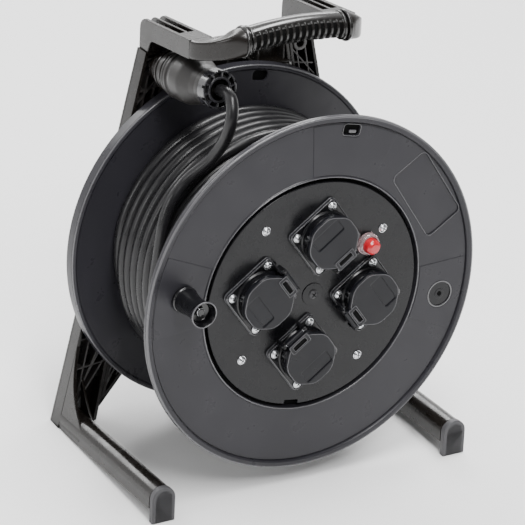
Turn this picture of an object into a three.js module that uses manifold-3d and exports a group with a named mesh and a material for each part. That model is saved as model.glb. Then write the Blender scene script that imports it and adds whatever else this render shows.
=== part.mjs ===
// Extension cord reel: a drum of rubber cable on a moulded stand, with four lidded sockets.
// Millimetres, +Z up, the socket face looks along -Y, the origin is under the middle of the
// reel at floor level.
import * as THREE from "three";
import { mergeVertices } from "three/addons/utils/BufferGeometryUtils.js";
import Module from "manifold-3d";

const wasm = await Module();
wasm.setup();

// ---- Driving dimensions. The reel leans back on its feet. Before it leans, depths (y) are
// counted from the front face of the drum's rim and heights (z) from under the toe caps. ----
const LEAN = 4.5; // degrees
const MIDDLE_Y = 84.3; // depth of the middle of the reel, once it leans
const FLOOR_AT_RIM = 0.7; // height of the floor's plane under the rim
const AXLE_Z = 164.4; // height of the drum's axis
const DRUM_TURN = -9; // degrees, how far the drum is turned at rest
const FLANGE_R = 149.6;
const REAR_FLANGE_R = 145;
const RIM_DEPTH = 5;
const DRUM_REAR = 141.5; // rear edge of the rear flange
const PANEL_R = 94.6;
const PANEL_SEAT_R = 97.7;
const PANEL_FRONT = 2;
const PANEL_BACK = 6.5;
const BARREL_R = 77.5;
const BARREL_WALL = 4;
const CORD_D = 9.9;
const LANE = 10.2; // room that one turn of the cord takes along the axis
const LANES = 12;
const WINDING_FRONT = 8;
const WINDING_R = 113;
const FREE_LANE = 6; // the lane whose outermost turn is lifted off to the plug
const AXLE_R = 8.5;
const SOCKET_RING_R = 49; // from the drum's axis to each socket's centre
const SOCKET_PLATE = 49;
const SOCKET_BODY_R = 21.5;
const SOCKET_WELL_R = 20.2; // to the corners of its eight flat walls
const SOCKET_WELL_DEPTH = 17.5;
const PIN_SPACING = 19;
const LID_R = 22;
const HINGE_X = 24.3; // lid hinge, from the socket's centre
const HINGE_Y = -12.5; // lid hinge, in front of the panel
const SCREW_RING_R = 76.8;
const BREAKER_RING_R = 59.5;
const BUTTON_R = 6.4;
const KNOB_RING_R = 118;
const STAND_HALF = 149.4; // outer half width of the legs, drawn down to the toe caps' level
const LEG_SPLAY = 0.223; // how far a leg leans in for each mm of height
const LEG_FRONT = 145.7;
const LEG_BACK = 160;
const HEEL_Z = 12;
const HEEL_W = 36;
const HEAD_W = 23;
const LEG_TOP = 328;
const FOOT_HALF = 145.5; // outer half width over the foot bars
const FOOT_W = 20.5;
const FOOT_BOTTOM = 12;
const FOOT_TOP = 29.1;
const FOOT_FRONT = -6.6;
const CAP_H = 29.8;
const CAP_T = 5.5;
const ARM_OUT = 75.1;
const ARM_W = 20;
const ARM_FRONT = 80;
const ARM_SLOPE = -0.11; // the arms climb from the legs to the handle
const BAR_FRONT = 40;
const BAR_BACK = 59;
const BAR_BOTTOM = 346;
const BAR_TOP = 362;
const BAR_RISE = 12.5; // each end of the handle climbs this much to its collar
const GRIP_HALF = 47;
const GRIP_Y = 49.5;
const GRIP_Z = 366.4;
const GRIP_R = 10.8;
const GRIP_CORE_R = 8;
const GRIP_ARCH = 4; // the grip's middle stands this much above its ends
const PLUG_BASE = [-61, 144.4, 314.3];
const PLUG_TILT = -6.4; // degrees about X
const PLUG_SWING = 3.65; // degrees about Z
const PLUG_LENGTH = 82; // holder's rear to cable nut
const GAP = 0.3; // between solids that touch

const RAD = Math.PI / 180;

// ---- Solids ----
function solidOf(geometry) {
  const bare = geometry.clone();
  bare.deleteAttribute("normal");
  bare.deleteAttribute("uv");
  const merged = mergeVertices(bare, 1e-4);
  const mesh = new wasm.Mesh({
    numProp: 3,
    vertProperties: new Float32Array(merged.attributes.position.array),
    triVerts: new Uint32Array(merged.index.array),
  });
  return new wasm.Manifold(mesh);
}

function geometryOf(solid) {
  const mesh = solid.getMesh();
  const positions = new Float32Array(mesh.numVert * 3);
  for (let i = 0; i < mesh.numVert; i++) {
    const at = i * mesh.numProp;
    positions.set(mesh.vertProperties.subarray(at, at + 3), i * 3);
  }
  const geometry = new THREE.BufferGeometry();
  geometry.setAttribute("position", new THREE.BufferAttribute(positions, 3));
  geometry.setIndex(new THREE.BufferAttribute(mesh.triVerts, 1));
  geometry.computeVertexNormals();
  return geometry;
}

function joined(...geometries) {
  return geometryOf(geometries.map(solidOf).reduce((a, b) => a.add(b)));
}

function cut(base, ...tools) {
  return geometryOf(tools.map(solidOf).reduce((a, b) => a.subtract(b), solidOf(base)));
}

// A box between two corners.
function block(x0, x1, y0, y1, z0, z1) {
  const box = new THREE.BoxGeometry(x1 - x0, y1 - y0, z1 - z0);
  return box.translate((x0 + x1) / 2, (y0 + y1) / 2, (z0 + z1) / 2);
}

// A ring or knob turned about the Y axis from [radius, y] points, given front to back on the outside.
function turned(points, segments = 48) {
  const area = points.reduce((sum, [r, y], i) => {
    const [r2, y2] = points[(i + 1) % points.length];
    return sum + r * y2 - r2 * y;
  }, 0);
  const ordered = area > 0 ? points : [...points].reverse();
  const onAxis = ordered.some(([r]) => r === 0);
  let outline = ordered;
  if (onAxis) {
    const first = ordered.findIndex(
      ([r], i) => r === 0 && ordered[(i + 1) % ordered.length][0] !== 0,
    );
    outline = [...ordered.slice(first), ...ordered.slice(0, first)];
  } else {
    outline = [...ordered, ordered[0]];
  }
  return new THREE.LatheGeometry(outline.map(([r, y]) => new THREE.Vector2(r, y)), segments);
}

// A round bar along Y.
function rod(r, y0, y1, segments = 24) {
  return turned([[0, y0], [r, y0], [r, y1], [0, y1]], segments);
}

function tube(rIn, rOut, y0, y1, segments = 32) {
  return turned([[rIn, y0], [rOut, y0], [rOut, y1], [rIn, y1]], segments);
}

function shapeOf(points) {
  return new THREE.Shape(points.map(([a, b]) => new THREE.Vector2(a, b)));
}

// A plate whose outline lies in X and Z, from y0 back to y1.
function plateXZ(shape, y0, y1, curveSegments = 12) {
  const flat = new THREE.ExtrudeGeometry(shape, {
    depth: y1 - y0,
    bevelEnabled: false,
    curveSegments,
  });
  return flat.rotateX(Math.PI / 2).translate(0, y1, 0);
}

// A plate whose outline lies in Y and Z, from x0 to x1.
function plateYZ(shape, x0, x1, curveSegments = 12) {
  const flat = new THREE.ExtrudeGeometry(shape, {
    depth: x1 - x0,
    bevelEnabled: false,
    curveSegments,
  });
  return flat.rotateX(Math.PI / 2).rotateZ(Math.PI / 2).translate(x0, 0, 0);
}

function mirrored(geometry) {
  return geometryOf(solidOf(geometry).mirror([1, 0, 0]));
}

// ---- The scene graph ----
const reel = new THREE.Group();
const leaning = new THREE.Group();
leaning.rotation.x = -LEAN * RAD;
leaning.position.set(0, -MIDDLE_Y, -FLOOR_AT_RIM * Math.cos(LEAN * RAD));
const stand = new THREE.Group();
const drum = new THREE.Group();
drum.position.z = AXLE_Z;
drum.rotation.y = -DRUM_TURN * RAD;
leaning.add(stand, drum);
reel.add(leaning);

const finish = {
  frame: { color: 0x1c1a19, roughness: 0.25, metalness: 0 },
  drum: { color: 0x4b4a50, roughness: 0.5, metalness: 0 },
  panel: { color: 0x2a2a2d, roughness: 0.35, metalness: 0 },
  socket: { color: 0x202023, roughness: 0.45, metalness: 0 },
  rubber: { color: 0x29292b, roughness: 0.7, metalness: 0 },
  steel: { color: 0xb8bcc0, roughness: 0.3, metalness: 1 },
  bush: { color: 0xd8d4c8, roughness: 0.5, metalness: 0 },
  clear: { color: 0xc9cdd0, roughness: 0.15, metalness: 0 },
  red: { color: 0xc4202c, roughness: 0.2, metalness: 0 },
};

function place(group, name, geometry, look) {
  const mesh = new THREE.Mesh(geometry, new THREE.MeshStandardMaterial(finish[look]));
  mesh.name = name;
  group.add(mesh);
  return mesh;
}

// A group on the drum's front at a radius and an angle seen from the front.
function onDrum(radius, degrees, turn = 0) {
  const spot = new THREE.Group();
  spot.position.set(radius * Math.cos(degrees * RAD), 0, radius * Math.sin(degrees * RAD));
  spot.rotation.y = -turn * RAD;
  drum.add(spot);
  return spot;
}

// ---- Stand: legs, braces and hub carrier, moulded channels open to the front ----
const outerX = (z) => -STAND_HALF + LEG_SPLAY * z;
const innerX = (z) => outerX(z) + HEEL_W + ((HEAD_W - HEEL_W) * z) / LEG_TOP;
const WALL = 3;

// What is left of a solid above the floor, which slopes under the reel before it leans.
function aboveFloor(geometry) {
  const ground = block(-200, 200, -60, 220, -60, 0);
  return cut(geometry, ground.rotateX(LEAN * RAD).translate(0, 0, FLOOR_AT_RIM));
}

// A channel around an outline: a back web, walls along the outline and ribs inside it.
function channel(outline, ribs) {
  const shape = shapeOf(outline);
  const body = solidOf(plateXZ(shape, LEG_FRONT, LEG_BACK));
  const inner = insetOutline(outline, WALL);
  const hollow = solidOf(plateXZ(shapeOf(inner), LEG_FRONT - 1, LEG_BACK - WALL));
  let shell = body.subtract(hollow);
  for (const [from, to] of ribs) {
    shell = shell.add(ribSolid(from, to).intersect(body));
  }
  return geometryOf(shell);
}

// The outline moved inwards by a distance, for outlines without sharp notches.
function insetOutline(outline, distance) {
  const area = outline.reduce((sum, [x, z], i) => {
    const [x2, z2] = outline[(i + 1) % outline.length];
    return sum + x * z2 - x2 * z;
  }, 0);
  const side = Math.sign(area);
  return outline.map((point, i) => {
    const before = outline[(i + outline.length - 1) % outline.length];
    const after = outline[(i + 1) % outline.length];
    const edge = (a, b) => {
      const length = Math.hypot(b[0] - a[0], b[1] - a[1]);
      return [(b[0] - a[0]) / length, (b[1] - a[1]) / length];
    };
    const [ax, az] = edge(before, point);
    const [bx, bz] = edge(point, after);
    const na = [-az * side, ax * side];
    const nb = [-bz * side, bx * side];
    const spread = 1 + na[0] * nb[0] + na[1] * nb[1];
    return [
      point[0] + (distance * (na[0] + nb[0])) / spread,
      point[1] + (distance * (na[1] + nb[1])) / spread,
    ];
  });
}

// A rib 2 mm thick between two [x, z] points, from 2 mm behind the channel's mouth to its web.
function ribSolid([x0, z0], [x1, z1]) {
  const length = Math.hypot(x1 - x0, z1 - z0);
  const rib = block(-length / 2, length / 2, LEG_FRONT + 2, LEG_BACK - 1, -1, 1);
  rib.rotateY(-Math.atan2(z1 - z0, x1 - x0));
  rib.translate((x0 + x1) / 2, 0, (z0 + z1) / 2);
  return solidOf(rib);
}

function legGeometry() {
  const outline = [
    [outerX(HEEL_Z), HEEL_Z],
    [innerX(HEEL_Z), HEEL_Z],
    [innerX(LEG_TOP), LEG_TOP],
    [outerX(LEG_TOP), LEG_TOP],
  ];
  const middleX = (z) => (outerX(z) + innerX(z)) / 2;
  const ribs = [[[middleX(36), 36], [middleX(LEG_TOP - 45), LEG_TOP - 45]]];
  for (let z = 36; z <= LEG_TOP - 45; z += 42) {
    ribs.push([[outerX(z), z], [innerX(z), z + 4]]);
  }
  return aboveFloor(channel(outline, ribs));
}
place(stand, "left_leg", legGeometry(), "frame");
place(stand, "right_leg", mirrored(legGeometry()), "frame");

const HUB_R = 52;
const hubPoint = (degrees) => [
  (HUB_R + 2 * GAP) * Math.cos(degrees * RAD),
  AXLE_Z + (HUB_R + 2 * GAP) * Math.sin(degrees * RAD),
];

// A brace between the hub carrier and a leg, up or down; low and high are its ends on the leg.
function braceGeometry(fromDegrees, toDegrees, low, high) {
  const onLeg = (z) => [innerX(z) + GAP, z];
  const round = [0, 0.25, 0.5, 0.75, 1].map((t) =>
    hubPoint(fromDegrees + t * (toDegrees - fromDegrees)),
  );
  const a = round[0];
  const c = round[4];
  const outline = [onLeg(low), ...round, onLeg(high)];
  const mid = (p, q, t) => [p[0] + (q[0] - p[0]) * t, p[1] + (q[1] - p[1]) * t];
  const ribs = [1 / 3, 2 / 3].map((t) => [
    mid(onLeg(low), onLeg(high), t),
    mid(a, c, t),
  ]);
  for (const t of [0.3, 0.65]) {
    ribs.push([mid(onLeg(low), a, t), mid(onLeg(high), c, t)]);
  }
  return channel(outline, ribs);
}

const lowerBrace = () => braceGeometry(236, 200, 24, 88);
const upperBrace = () => braceGeometry(160, 124, 236, 296);
place(stand, "left_lower_brace", lowerBrace(), "frame");
place(stand, "right_lower_brace", mirrored(lowerBrace()), "frame");
place(stand, "left_upper_brace", upperBrace(), "frame");
place(stand, "right_upper_brace", mirrored(upperBrace()), "frame");

// Hub carrier: a dished disc with eight ribs and a boss that grips the axle.
function hubCarrierGeometry() {
  const dish = turned([
    [AXLE_R + GAP, LEG_FRONT],
    [20, LEG_FRONT],
    [22, LEG_BACK - 4],
    [HUB_R - WALL, LEG_BACK - 4],
    [HUB_R - WALL, LEG_FRONT],
    [HUB_R, LEG_FRONT],
    [HUB_R, LEG_BACK],
    [AXLE_R + GAP, LEG_BACK],
  ]);
  const ribs = [];
  for (let i = 0; i < 8; i++) {
    const rib = block(19, HUB_R - 1, LEG_FRONT + 2, LEG_BACK - 1, -1, 1);
    ribs.push(rib.rotateY((i * Math.PI) / 4 + Math.PI / 8));
  }
  return joined(dish, ...ribs).translate(0, 0, AXLE_Z);
}
place(stand, "hub_carrier", hubCarrierGeometry(), "frame");

// The plug is parked in a holder on the left leg; this is its place, its axis along the local Y.
const plugSpot = new THREE.Group();
plugSpot.position.set(...PLUG_BASE);
plugSpot.rotation.set(PLUG_TILT * RAD, 0, PLUG_SWING * RAD);
plugSpot.updateMatrix();
stand.add(plugSpot);

const HOLDER_R = 13;
const HOLDER_FRONT = -12;
const PIN_R = 2.4;
const PIN_LENGTH = 19;
const PLUG_FACE = HOLDER_FRONT - GAP;
const pinAt = (side) => (side * PIN_SPACING) / 2;

// The two holes that the plug's pins stand in, through the holder and the beam's end.
const pinBores = () =>
  [-1, 1].map((side) => {
    const bore = rod(PIN_R + 2 * GAP, HOLDER_FRONT - 1, PLUG_FACE + PIN_LENGTH + 1, 12);
    return bore.translate(pinAt(side), 0, 0).applyMatrix4(plugSpot.matrix);
  });

// Top beam between the leg heads.
const BEAM_LOW = 299;
const BEAM_HIGH = LEG_TOP - 2;
const beam = channel(
  [
    [innerX(BEAM_LOW) + GAP, BEAM_LOW],
    [-innerX(BEAM_LOW) - GAP, BEAM_LOW],
    [-innerX(BEAM_HIGH) - GAP, BEAM_HIGH],
    [innerX(BEAM_HIGH) + GAP, BEAM_HIGH],
  ],
  [-30, 0, 30].map((x) => [[x, BEAM_LOW], [x, BEAM_HIGH]]),
);
place(stand, "top_beam", cut(beam, ...pinBores()), "frame");

// ---- Feet: round-topped bars that run forward, with rubber caps at their toes ----
function archShape(width, height) {
  const shape = new THREE.Shape();
  const r = width / 2;
  shape.moveTo(-r, 0);
  shape.lineTo(r, 0);
  shape.lineTo(r, height - r);
  shape.absarc(0, height - r, r, 0, Math.PI, false);
  shape.closePath();
  return shape;
}

function footGeometry() {
  const rear = LEG_FRONT - GAP;
  const bar = plateXZ(archShape(FOOT_W, FOOT_TOP - FOOT_BOTTOM), FOOT_FRONT, rear, 8);
  bar.translate(-FOOT_HALF + FOOT_W / 2, 0, FOOT_BOTTOM);
  // The leg's outer wall sweeps forward into the bar.
  const web = new THREE.Shape();
  web.moveTo(rear, FOOT_BOTTOM + 4);
  web.lineTo(rear, 78);
  web.quadraticCurveTo(rear - 4, 42, rear - 30, FOOT_TOP - 4);
  web.lineTo(rear - 30, FOOT_BOTTOM + 4);
  web.closePath();
  const lean = new THREE.Matrix4().set(1, 0, LEG_SPLAY, 0, 0, 1, 0, 0, 0, 0, 1, 0, 0, 0, 0, 1);
  const wall = plateYZ(web, -STAND_HALF, -STAND_HALF + WALL, 6).applyMatrix4(lean);
  return aboveFloor(joined(bar, wall));
}
place(stand, "left_foot", footGeometry(), "frame");
place(stand, "right_foot", mirrored(footGeometry()), "frame");

function capGeometry() {
  const cap = plateXZ(archShape(FOOT_W, CAP_H + 1), FOOT_FRONT - GAP - CAP_T, FOOT_FRONT - GAP, 8);
  return aboveFloor(cap.translate(-FOOT_HALF + FOOT_W / 2, 0, -1));
}
place(stand, "left_foot_cap", capGeometry(), "rubber");
place(stand, "right_foot_cap", mirrored(capGeometry()), "rubber");

// ---- Arms from the leg heads to the handle: three fins with two slots between them ----
const armZ = (y) => ARM_SLOPE * (y - ARM_FRONT);
function armGeometry() {
  const side = new THREE.Shape();
  const base = LEG_TOP + GAP;
  side.moveTo(LEG_FRONT, base);
  side.lineTo(LEG_BACK, base);
  side.lineTo(LEG_BACK, base + 8);
  const crown = LEG_BACK - 9;
  side.quadraticCurveTo(LEG_BACK, BAR_TOP + armZ(LEG_BACK), crown, BAR_TOP + armZ(crown));
  side.lineTo(ARM_FRONT, BAR_TOP);
  side.lineTo(ARM_FRONT, BAR_BOTTOM);
  side.lineTo(LEG_FRONT - 5, BAR_BOTTOM + armZ(LEG_FRONT - 5));
  side.closePath();
  const arm = plateYZ(side, -ARM_OUT, -ARM_OUT + ARM_W, 6);
  const slots = [0, 1].map((i) => {
    const x = -ARM_OUT + 3.4 + i * 7.6;
    return block(x, x + 5.6, 102, LEG_BACK + 1, BAR_BOTTOM + 1, BAR_TOP + 2);
  });
  return cut(arm, ...slots);
}
place(stand, "left_arm", armGeometry(), "frame");
place(stand, "right_arm", mirrored(armGeometry()), "frame");

// ---- Handle: two ends that bend round from the arms, a round core and a grip over it ----
// Bends what runs along X up in the middle of the grip.
function arched(geometry) {
  const at = geometry.attributes.position;
  for (let i = 0; i < at.count; i++) {
    const off = Math.min(1, Math.abs(at.getX(i)) / GRIP_HALF);
    at.setZ(i, at.getZ(i) + GRIP_ARCH * (1 - off * off));
  }
  return geometry;
}

// A turned piece along X, in steps short enough to bend.
function turnedX(radiusIn, stations, segments) {
  const outer = stations.map(([x, r]) => [r, x]);
  const inner = stations.map(([x]) => [radiusIn, x]).reverse();
  const ring = turned([...outer, ...inner], segments);
  return ring.rotateZ(-Math.PI / 2).translate(0, GRIP_Y, GRIP_Z);
}

// The left end of the handle: a quarter bend whose outside is an ellipse in plan.
function barEndGeometry() {
  const plan = new THREE.Shape();
  const from = ARM_FRONT - GAP;
  const near = -GRIP_HALF - GAP;
  const inside = BAR_BACK - 1;
  plan.moveTo(-ARM_OUT, from);
  plan.absellipse(near, from, ARM_OUT + near, from - BAR_FRONT, Math.PI, 1.5 * Math.PI, false);
  plan.lineTo(near, inside);
  plan.quadraticCurveTo(-ARM_OUT + ARM_W - 0.5, inside + 1, -ARM_OUT + ARM_W, from);
  plan.closePath();
  const slab = new THREE.ExtrudeGeometry(plan, {
    depth: BAR_TOP - BAR_BOTTOM,
    bevelEnabled: false,
    curveSegments: 8,
  });
  const at = slab.attributes.position;
  for (let i = 0; i < at.count; i++) {
    const along = (from - at.getY(i)) / (from - BAR_FRONT);
    at.setZ(i, at.getZ(i) + BAR_RISE * THREE.MathUtils.smoothstep(along, 0, 1));
  }
  return slab.translate(0, 0, BAR_BOTTOM);
}

function handleBarGeometry() {
  const steps = 6;
  const reach = GRIP_HALF + 4;
  const stations = [];
  for (let i = 0; i <= steps; i++) {
    stations.push([GRIP_CORE_R, -reach + (2 * reach * i) / steps]);
  }
  const core = turned([[0, -reach], ...stations, [0, reach]], 16);
  core.rotateZ(-Math.PI / 2).translate(0, GRIP_Y, GRIP_Z);
  return joined(barEndGeometry(), arched(core), mirrored(barEndGeometry()));
}
place(stand, "handle_bar", handleBarGeometry(), "frame");

const COLLAR_R = 12.2;
const COLLAR_W = 4;
function gripGeometry() {
  const inner = GRIP_HALF - COLLAR_W;
  const steps = 5;
  const stations = [[-GRIP_HALF, COLLAR_R], [-inner, COLLAR_R], [-inner, GRIP_R]];
  for (let i = 1; i < steps; i++) {
    stations.push([-inner + (2 * inner * i) / steps, GRIP_R]);
  }
  stations.push([inner, GRIP_R], [inner, COLLAR_R], [GRIP_HALF, COLLAR_R]);
  return arched(turnedX(GRIP_CORE_R + 1, stations, 18));
}
place(stand, "handle_grip", gripGeometry(), "rubber");

// ---- Axle: a steel tube held by the hub carrier, with a washer and a nut inside the drum ----
const AXLE_FRONT = 12;
const spindle = new THREE.Group();
spindle.position.z = AXLE_Z;
stand.add(spindle);
place(spindle, "axle", tube(6, AXLE_R, AXLE_FRONT, LEG_BACK - 2, 24), "steel");
place(spindle, "axle_washer", tube(AXLE_R + GAP, 14, 21.7, 23.7, 24), "steel");
place(spindle, "axle_nut", cut(rod(14, 14, 21.4, 6), rod(AXLE_R + GAP, 13, 22, 24)), "steel");

// ---- Drum ----
const FRONT_SLOT_TURN = 2.5; // degrees from straight above the panel
const laneY = (lane) => WINDING_FRONT + LANE * (lane - 0.5);
const REAR_PLATE = WINDING_FRONT + LANE * LANES + 1.5;

function frontFlangeGeometry() {
  const disc = turned(
    [
      [BARREL_R - BARREL_WALL - 2, PANEL_BACK + GAP],
      [PANEL_SEAT_R, PANEL_BACK + GAP],
      [PANEL_SEAT_R, 2.5],
      [FLANGE_R - 6, 2.5],
      [FLANGE_R - 5, 0],
      [FLANGE_R - 1, 0],
      [FLANGE_R, 2],
      [FLANGE_R, RIM_DEPTH],
      [PANEL_SEAT_R + 3, RIM_DEPTH],
      [PANEL_SEAT_R - 1, WINDING_FRONT + 1],
      [BARREL_R - BARREL_WALL - 2, WINDING_FRONT + 1],
    ],
    56,
  );
  const slot = block(-8.5, 8.5, -1, 7, 133, 144.5).rotateY(FRONT_SLOT_TURN * RAD);
  const spindleHole = rod(4.2, 0, 9, 12).translate(-KNOB_RING_R, 0, 0);
  return cut(disc, slot, spindleHole);
}
place(drum, "front_flange", frontFlangeGeometry(), "drum");

const HUB_TUBE_R = 15;
function rearFlangeGeometry() {
  const disc = turned(
    [
      [HUB_TUBE_R + 1, REAR_PLATE],
      [REAR_FLANGE_R - 5, REAR_PLATE],
      [REAR_FLANGE_R - 3.5, REAR_PLATE - 1],
      [REAR_FLANGE_R, REAR_PLATE + 1],
      [REAR_FLANGE_R, DRUM_REAR],
      [REAR_FLANGE_R - 2.5, DRUM_REAR],
      [REAR_FLANGE_R - 4.5, REAR_PLATE + 3],
      [HUB_TUBE_R + 1, REAR_PLATE + 3],
    ],
    56,
  );
  return cut(disc, block(-6.5, 6.5, REAR_PLATE - 2, DRUM_REAR + 1, 133.3, 141));
}
place(drum, "rear_flange", rearFlangeGeometry(), "drum");

place(
  drum,
  "drum_barrel",
  tube(BARREL_R - BARREL_WALL, BARREL_R, WINDING_FRONT + 1 + GAP, REAR_PLATE - GAP, 48),
  "drum",
);
place(drum, "hub_tube", tube(11.8, HUB_TUBE_R, 24, DRUM_REAR - 3, 24), "drum");
place(drum, "front_bush", tube(AXLE_R + GAP, 11.5, 24, 38, 24), "bush");
place(drum, "rear_bush", tube(AXLE_R + GAP, 11.5, 121, 138, 24), "bush");

// Spokes' web that ties the hub tube to the barrel behind the sockets.
const WEB_Y = 52;
function hubWebGeometry() {
  const disc = tube(HUB_TUBE_R + GAP, BARREL_R - BARREL_WALL - GAP, WEB_Y, WEB_Y + 3, 24);
  const windows = [0, 90, 180, 270].map((turn) =>
    rod(16, WEB_Y - 1, WEB_Y + 4, 12).translate(45, 0, 0).rotateY(turn * RAD),
  );
  return cut(disc, ...windows);
}
place(drum, "hub_web", hubWebGeometry(), "drum");

const SOCKET_ANGLES = { top: 90, left: 180, bottom: 270, right: 0 };
const SCREW_ANGLES = [45, 135, 225, 315];

function panelGeometry() {
  const disc = rod(PANEL_R, PANEL_FRONT, PANEL_BACK, 56);
  const holes = Object.values(SOCKET_ANGLES).map((degrees) =>
    rod((SOCKET_BODY_R + GAP) / Math.cos(Math.PI / 8), 0, 9, 8).translate(
      SOCKET_RING_R * Math.cos(degrees * RAD),
      0,
      SOCKET_RING_R * Math.sin(degrees * RAD),
    ),
  );
  const breakerHole = rod(BUTTON_R + 2 * GAP, 0, 9, 12).translate(
    BREAKER_RING_R * Math.cos(45 * RAD),
    0,
    BREAKER_RING_R * Math.sin(45 * RAD),
  );
  const notch = block(-6, 6, 0, 9, -PANEL_R - 1, -PANEL_R + 3.5);
  return cut(disc, ...holes, breakerHole, notch);
}
place(drum, "socket_panel", panelGeometry(), "panel");

// The cap over the axle's end.
place(
  drum,
  "hub_cap",
  turned([[0, -1], [8, -1], [9.4, 0.4], [9.4, PANEL_FRONT - GAP], [0, PANEL_FRONT - GAP]], 16),
  "panel",
);

SCREW_ANGLES.forEach((degrees, i) => {
  const spot = onDrum(SCREW_RING_R, degrees);
  const head = turned([[0, -0.4], [2.6, -0.4], [3.8, 0.8], [3.8, PANEL_FRONT - GAP], [0, PANEL_FRONT - GAP]], 12);
  place(spot, `panel_screw_${i + 1}`, head, "steel");
});

// ---- Sockets: a square plate, a round well that stands out of it, and a sprung lid ----
const LUG_IN = 9;
const LUG_OUT = 12;
const HINGE_PIN_R = 1.3;
const KNUCKLE_R = 2.6;
const PLATE_FRONT = -3.6; // in front of the panel
const WELL_FRONT = -11;
const WELL_BACK = 34;
const LID_FRONT = -16;
const PIN_HOLE_END = 12;

// A round bar along Z.
function barZ(r, z0, z1, segments = 16) {
  return rod(r, z0, z1, segments).rotateX(Math.PI / 2);
}

function socketGeometry() {
  const half = SOCKET_PLATE / 2;
  const near = half - 3;
  const outline = shapeOf([
    [-near, -half], [near, -half], [half, -near], [half, near],
    [near, half], [-near, half], [-half, near], [-half, -near],
  ]);
  const plate = plateXZ(outline, PLATE_FRONT, -GAP);
  const body = rod(SOCKET_BODY_R, WELL_FRONT, WELL_BACK, 16);
  const lugs = [-1, 1].map((side) =>
    block(
      HINGE_X - KNUCKLE_R,
      HINGE_X + KNUCKLE_R,
      HINGE_Y - KNUCKLE_R,
      PLATE_FRONT + 1,
      side > 0 ? LUG_IN + GAP : -LUG_OUT,
      side > 0 ? LUG_OUT : -LUG_IN - GAP,
    ),
  );
  const well = rod(SOCKET_WELL_R, WELL_FRONT - 1, WELL_FRONT + SOCKET_WELL_DEPTH, 8);
  const pinHoles = [-1, 1].map((side) =>
    rod(2.6, 5, PIN_HOLE_END, 8).translate((side * PIN_SPACING) / 2, 0, 0),
  );
  const hingeHole = barZ(HINGE_PIN_R + 0.2, -14, 14, 8).translate(HINGE_X, HINGE_Y, 0);
  return cut(joined(plate, body, ...lugs), well, ...pinHoles, hingeHole);
}

function lidGeometry() {
  const back = WELL_FRONT - GAP;
  const rim = LID_FRONT + 1.6;
  const disc = turned(
    [[0, LID_FRONT], [LID_R - 3, LID_FRONT], [LID_R, rim], [LID_R, back], [0, back]],
    24,
  );
  const neck = block(14, HINGE_X, LID_FRONT + 1, back, -LUG_IN + GAP, LUG_IN - GAP);
  const knuckle = barZ(KNUCKLE_R, -LUG_IN + GAP, LUG_IN - GAP, 12).translate(HINGE_X, HINGE_Y, 0);
  const hole = barZ(HINGE_PIN_R + 0.2, -14, 14, 8).translate(HINGE_X, HINGE_Y, 0);
  return cut(joined(disc, neck, knuckle), hole);
}

for (const [where, degrees] of Object.entries(SOCKET_ANGLES)) {
  const spot = onDrum(SOCKET_RING_R, degrees, degrees - 135);
  spot.position.y = PANEL_FRONT;
  place(spot, `${where}_socket`, socketGeometry(), "socket");
  place(spot, `${where}_lid`, lidGeometry(), "socket");
  const pin = barZ(HINGE_PIN_R, -LUG_OUT, LUG_OUT, 8).translate(HINGE_X, HINGE_Y, 0);
  place(spot, `${where}_lid_pin`, pin, "steel");
}

// ---- Thermal cut-out: body behind the panel, clear collar and red reset button ----
const breaker = onDrum(BREAKER_RING_R, 45, 45);
const breakerCan = block(-7, 7, PANEL_BACK + GAP, 34, -10, 10);
place(breaker, "breaker_body", breakerCan, "socket");
place(breaker, "breaker_collar", tube(BUTTON_R + GAP, 9.2, -3.4, PANEL_FRONT - GAP, 20), "clear");
place(
  breaker,
  "reset_button",
  turned(
    [[0, -11], [3.6, -10.5], [BUTTON_R - 0.8, -8.4], [BUTTON_R, -5], [BUTTON_R, -0.2], [0, -0.2]],
    20,
  ),
  "red",
);

// ---- Crank knob on its spindle ----
const crank = onDrum(KNOB_RING_R, 180);
const spindlePoints = [
  [0, -26],
  [3.4, -26],
  [3.4, 1.9],
  [3.9, 1.9],
  [3.9, WINDING_FRONT - 1],
  [0, WINDING_FRONT - 1],
];
place(crank, "knob_spindle", turned(spindlePoints, 12), "steel");
place(
  crank,
  "crank_knob",
  turned(
    [
      [3.8, 1.6],
      [11, 1.6],
      [11, -2],
      [9, -6],
      [8, -14],
      [8.6, -22],
      [11, -29],
      [11, -31],
      [8.6, -31],
      [6.4, -27.4],
      [3.8, -27.4],
    ],
    20,
  ),
  "frame",
);

// ---- Inside the barrel: terminals and the clamp that holds the cord's inner end ----
place(drum, "terminal_block", block(-26, 26, 84, 102, 30, 48), "bush");
place(drum, "cord_clamp", block(-58, -34, 100, 114, -14, 14), "frame");

// ---- Cord: the winding on the barrel, and the stretch from its free lane up to the plug ----
const FREE_Y = laneY(FREE_LANE);
place(
  drum,
  "cord_winding",
  turned(
    [
      [BARREL_R + GAP, WINDING_FRONT + 1 + GAP],
      [WINDING_R, WINDING_FRONT + 1 + GAP],
      [WINDING_R, FREE_Y - LANE / 2 - GAP],
      [WINDING_R - CORD_D - 0.6, FREE_Y - LANE / 2 - GAP],
      [WINDING_R - CORD_D - 0.6, FREE_Y + LANE / 2 + GAP],
      [WINDING_R, FREE_Y + LANE / 2 + GAP],
      [WINDING_R, REAR_PLATE - GAP],
      [BARREL_R + GAP, REAR_PLATE - GAP],
    ],
    48,
  ),
  "rubber",
);

// ---- Plug and its holder ----
function holderGeometry() {
  const boss = rod(HOLDER_R, HOLDER_FRONT, 12, 24).applyMatrix4(plugSpot.matrix);
  const leg = block(-100, -20, LEG_FRONT - GAP, LEG_BACK, 280, 350);
  return cut(boss, leg, ...pinBores());
}
place(stand, "plug_holder", holderGeometry(), "frame");

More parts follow.
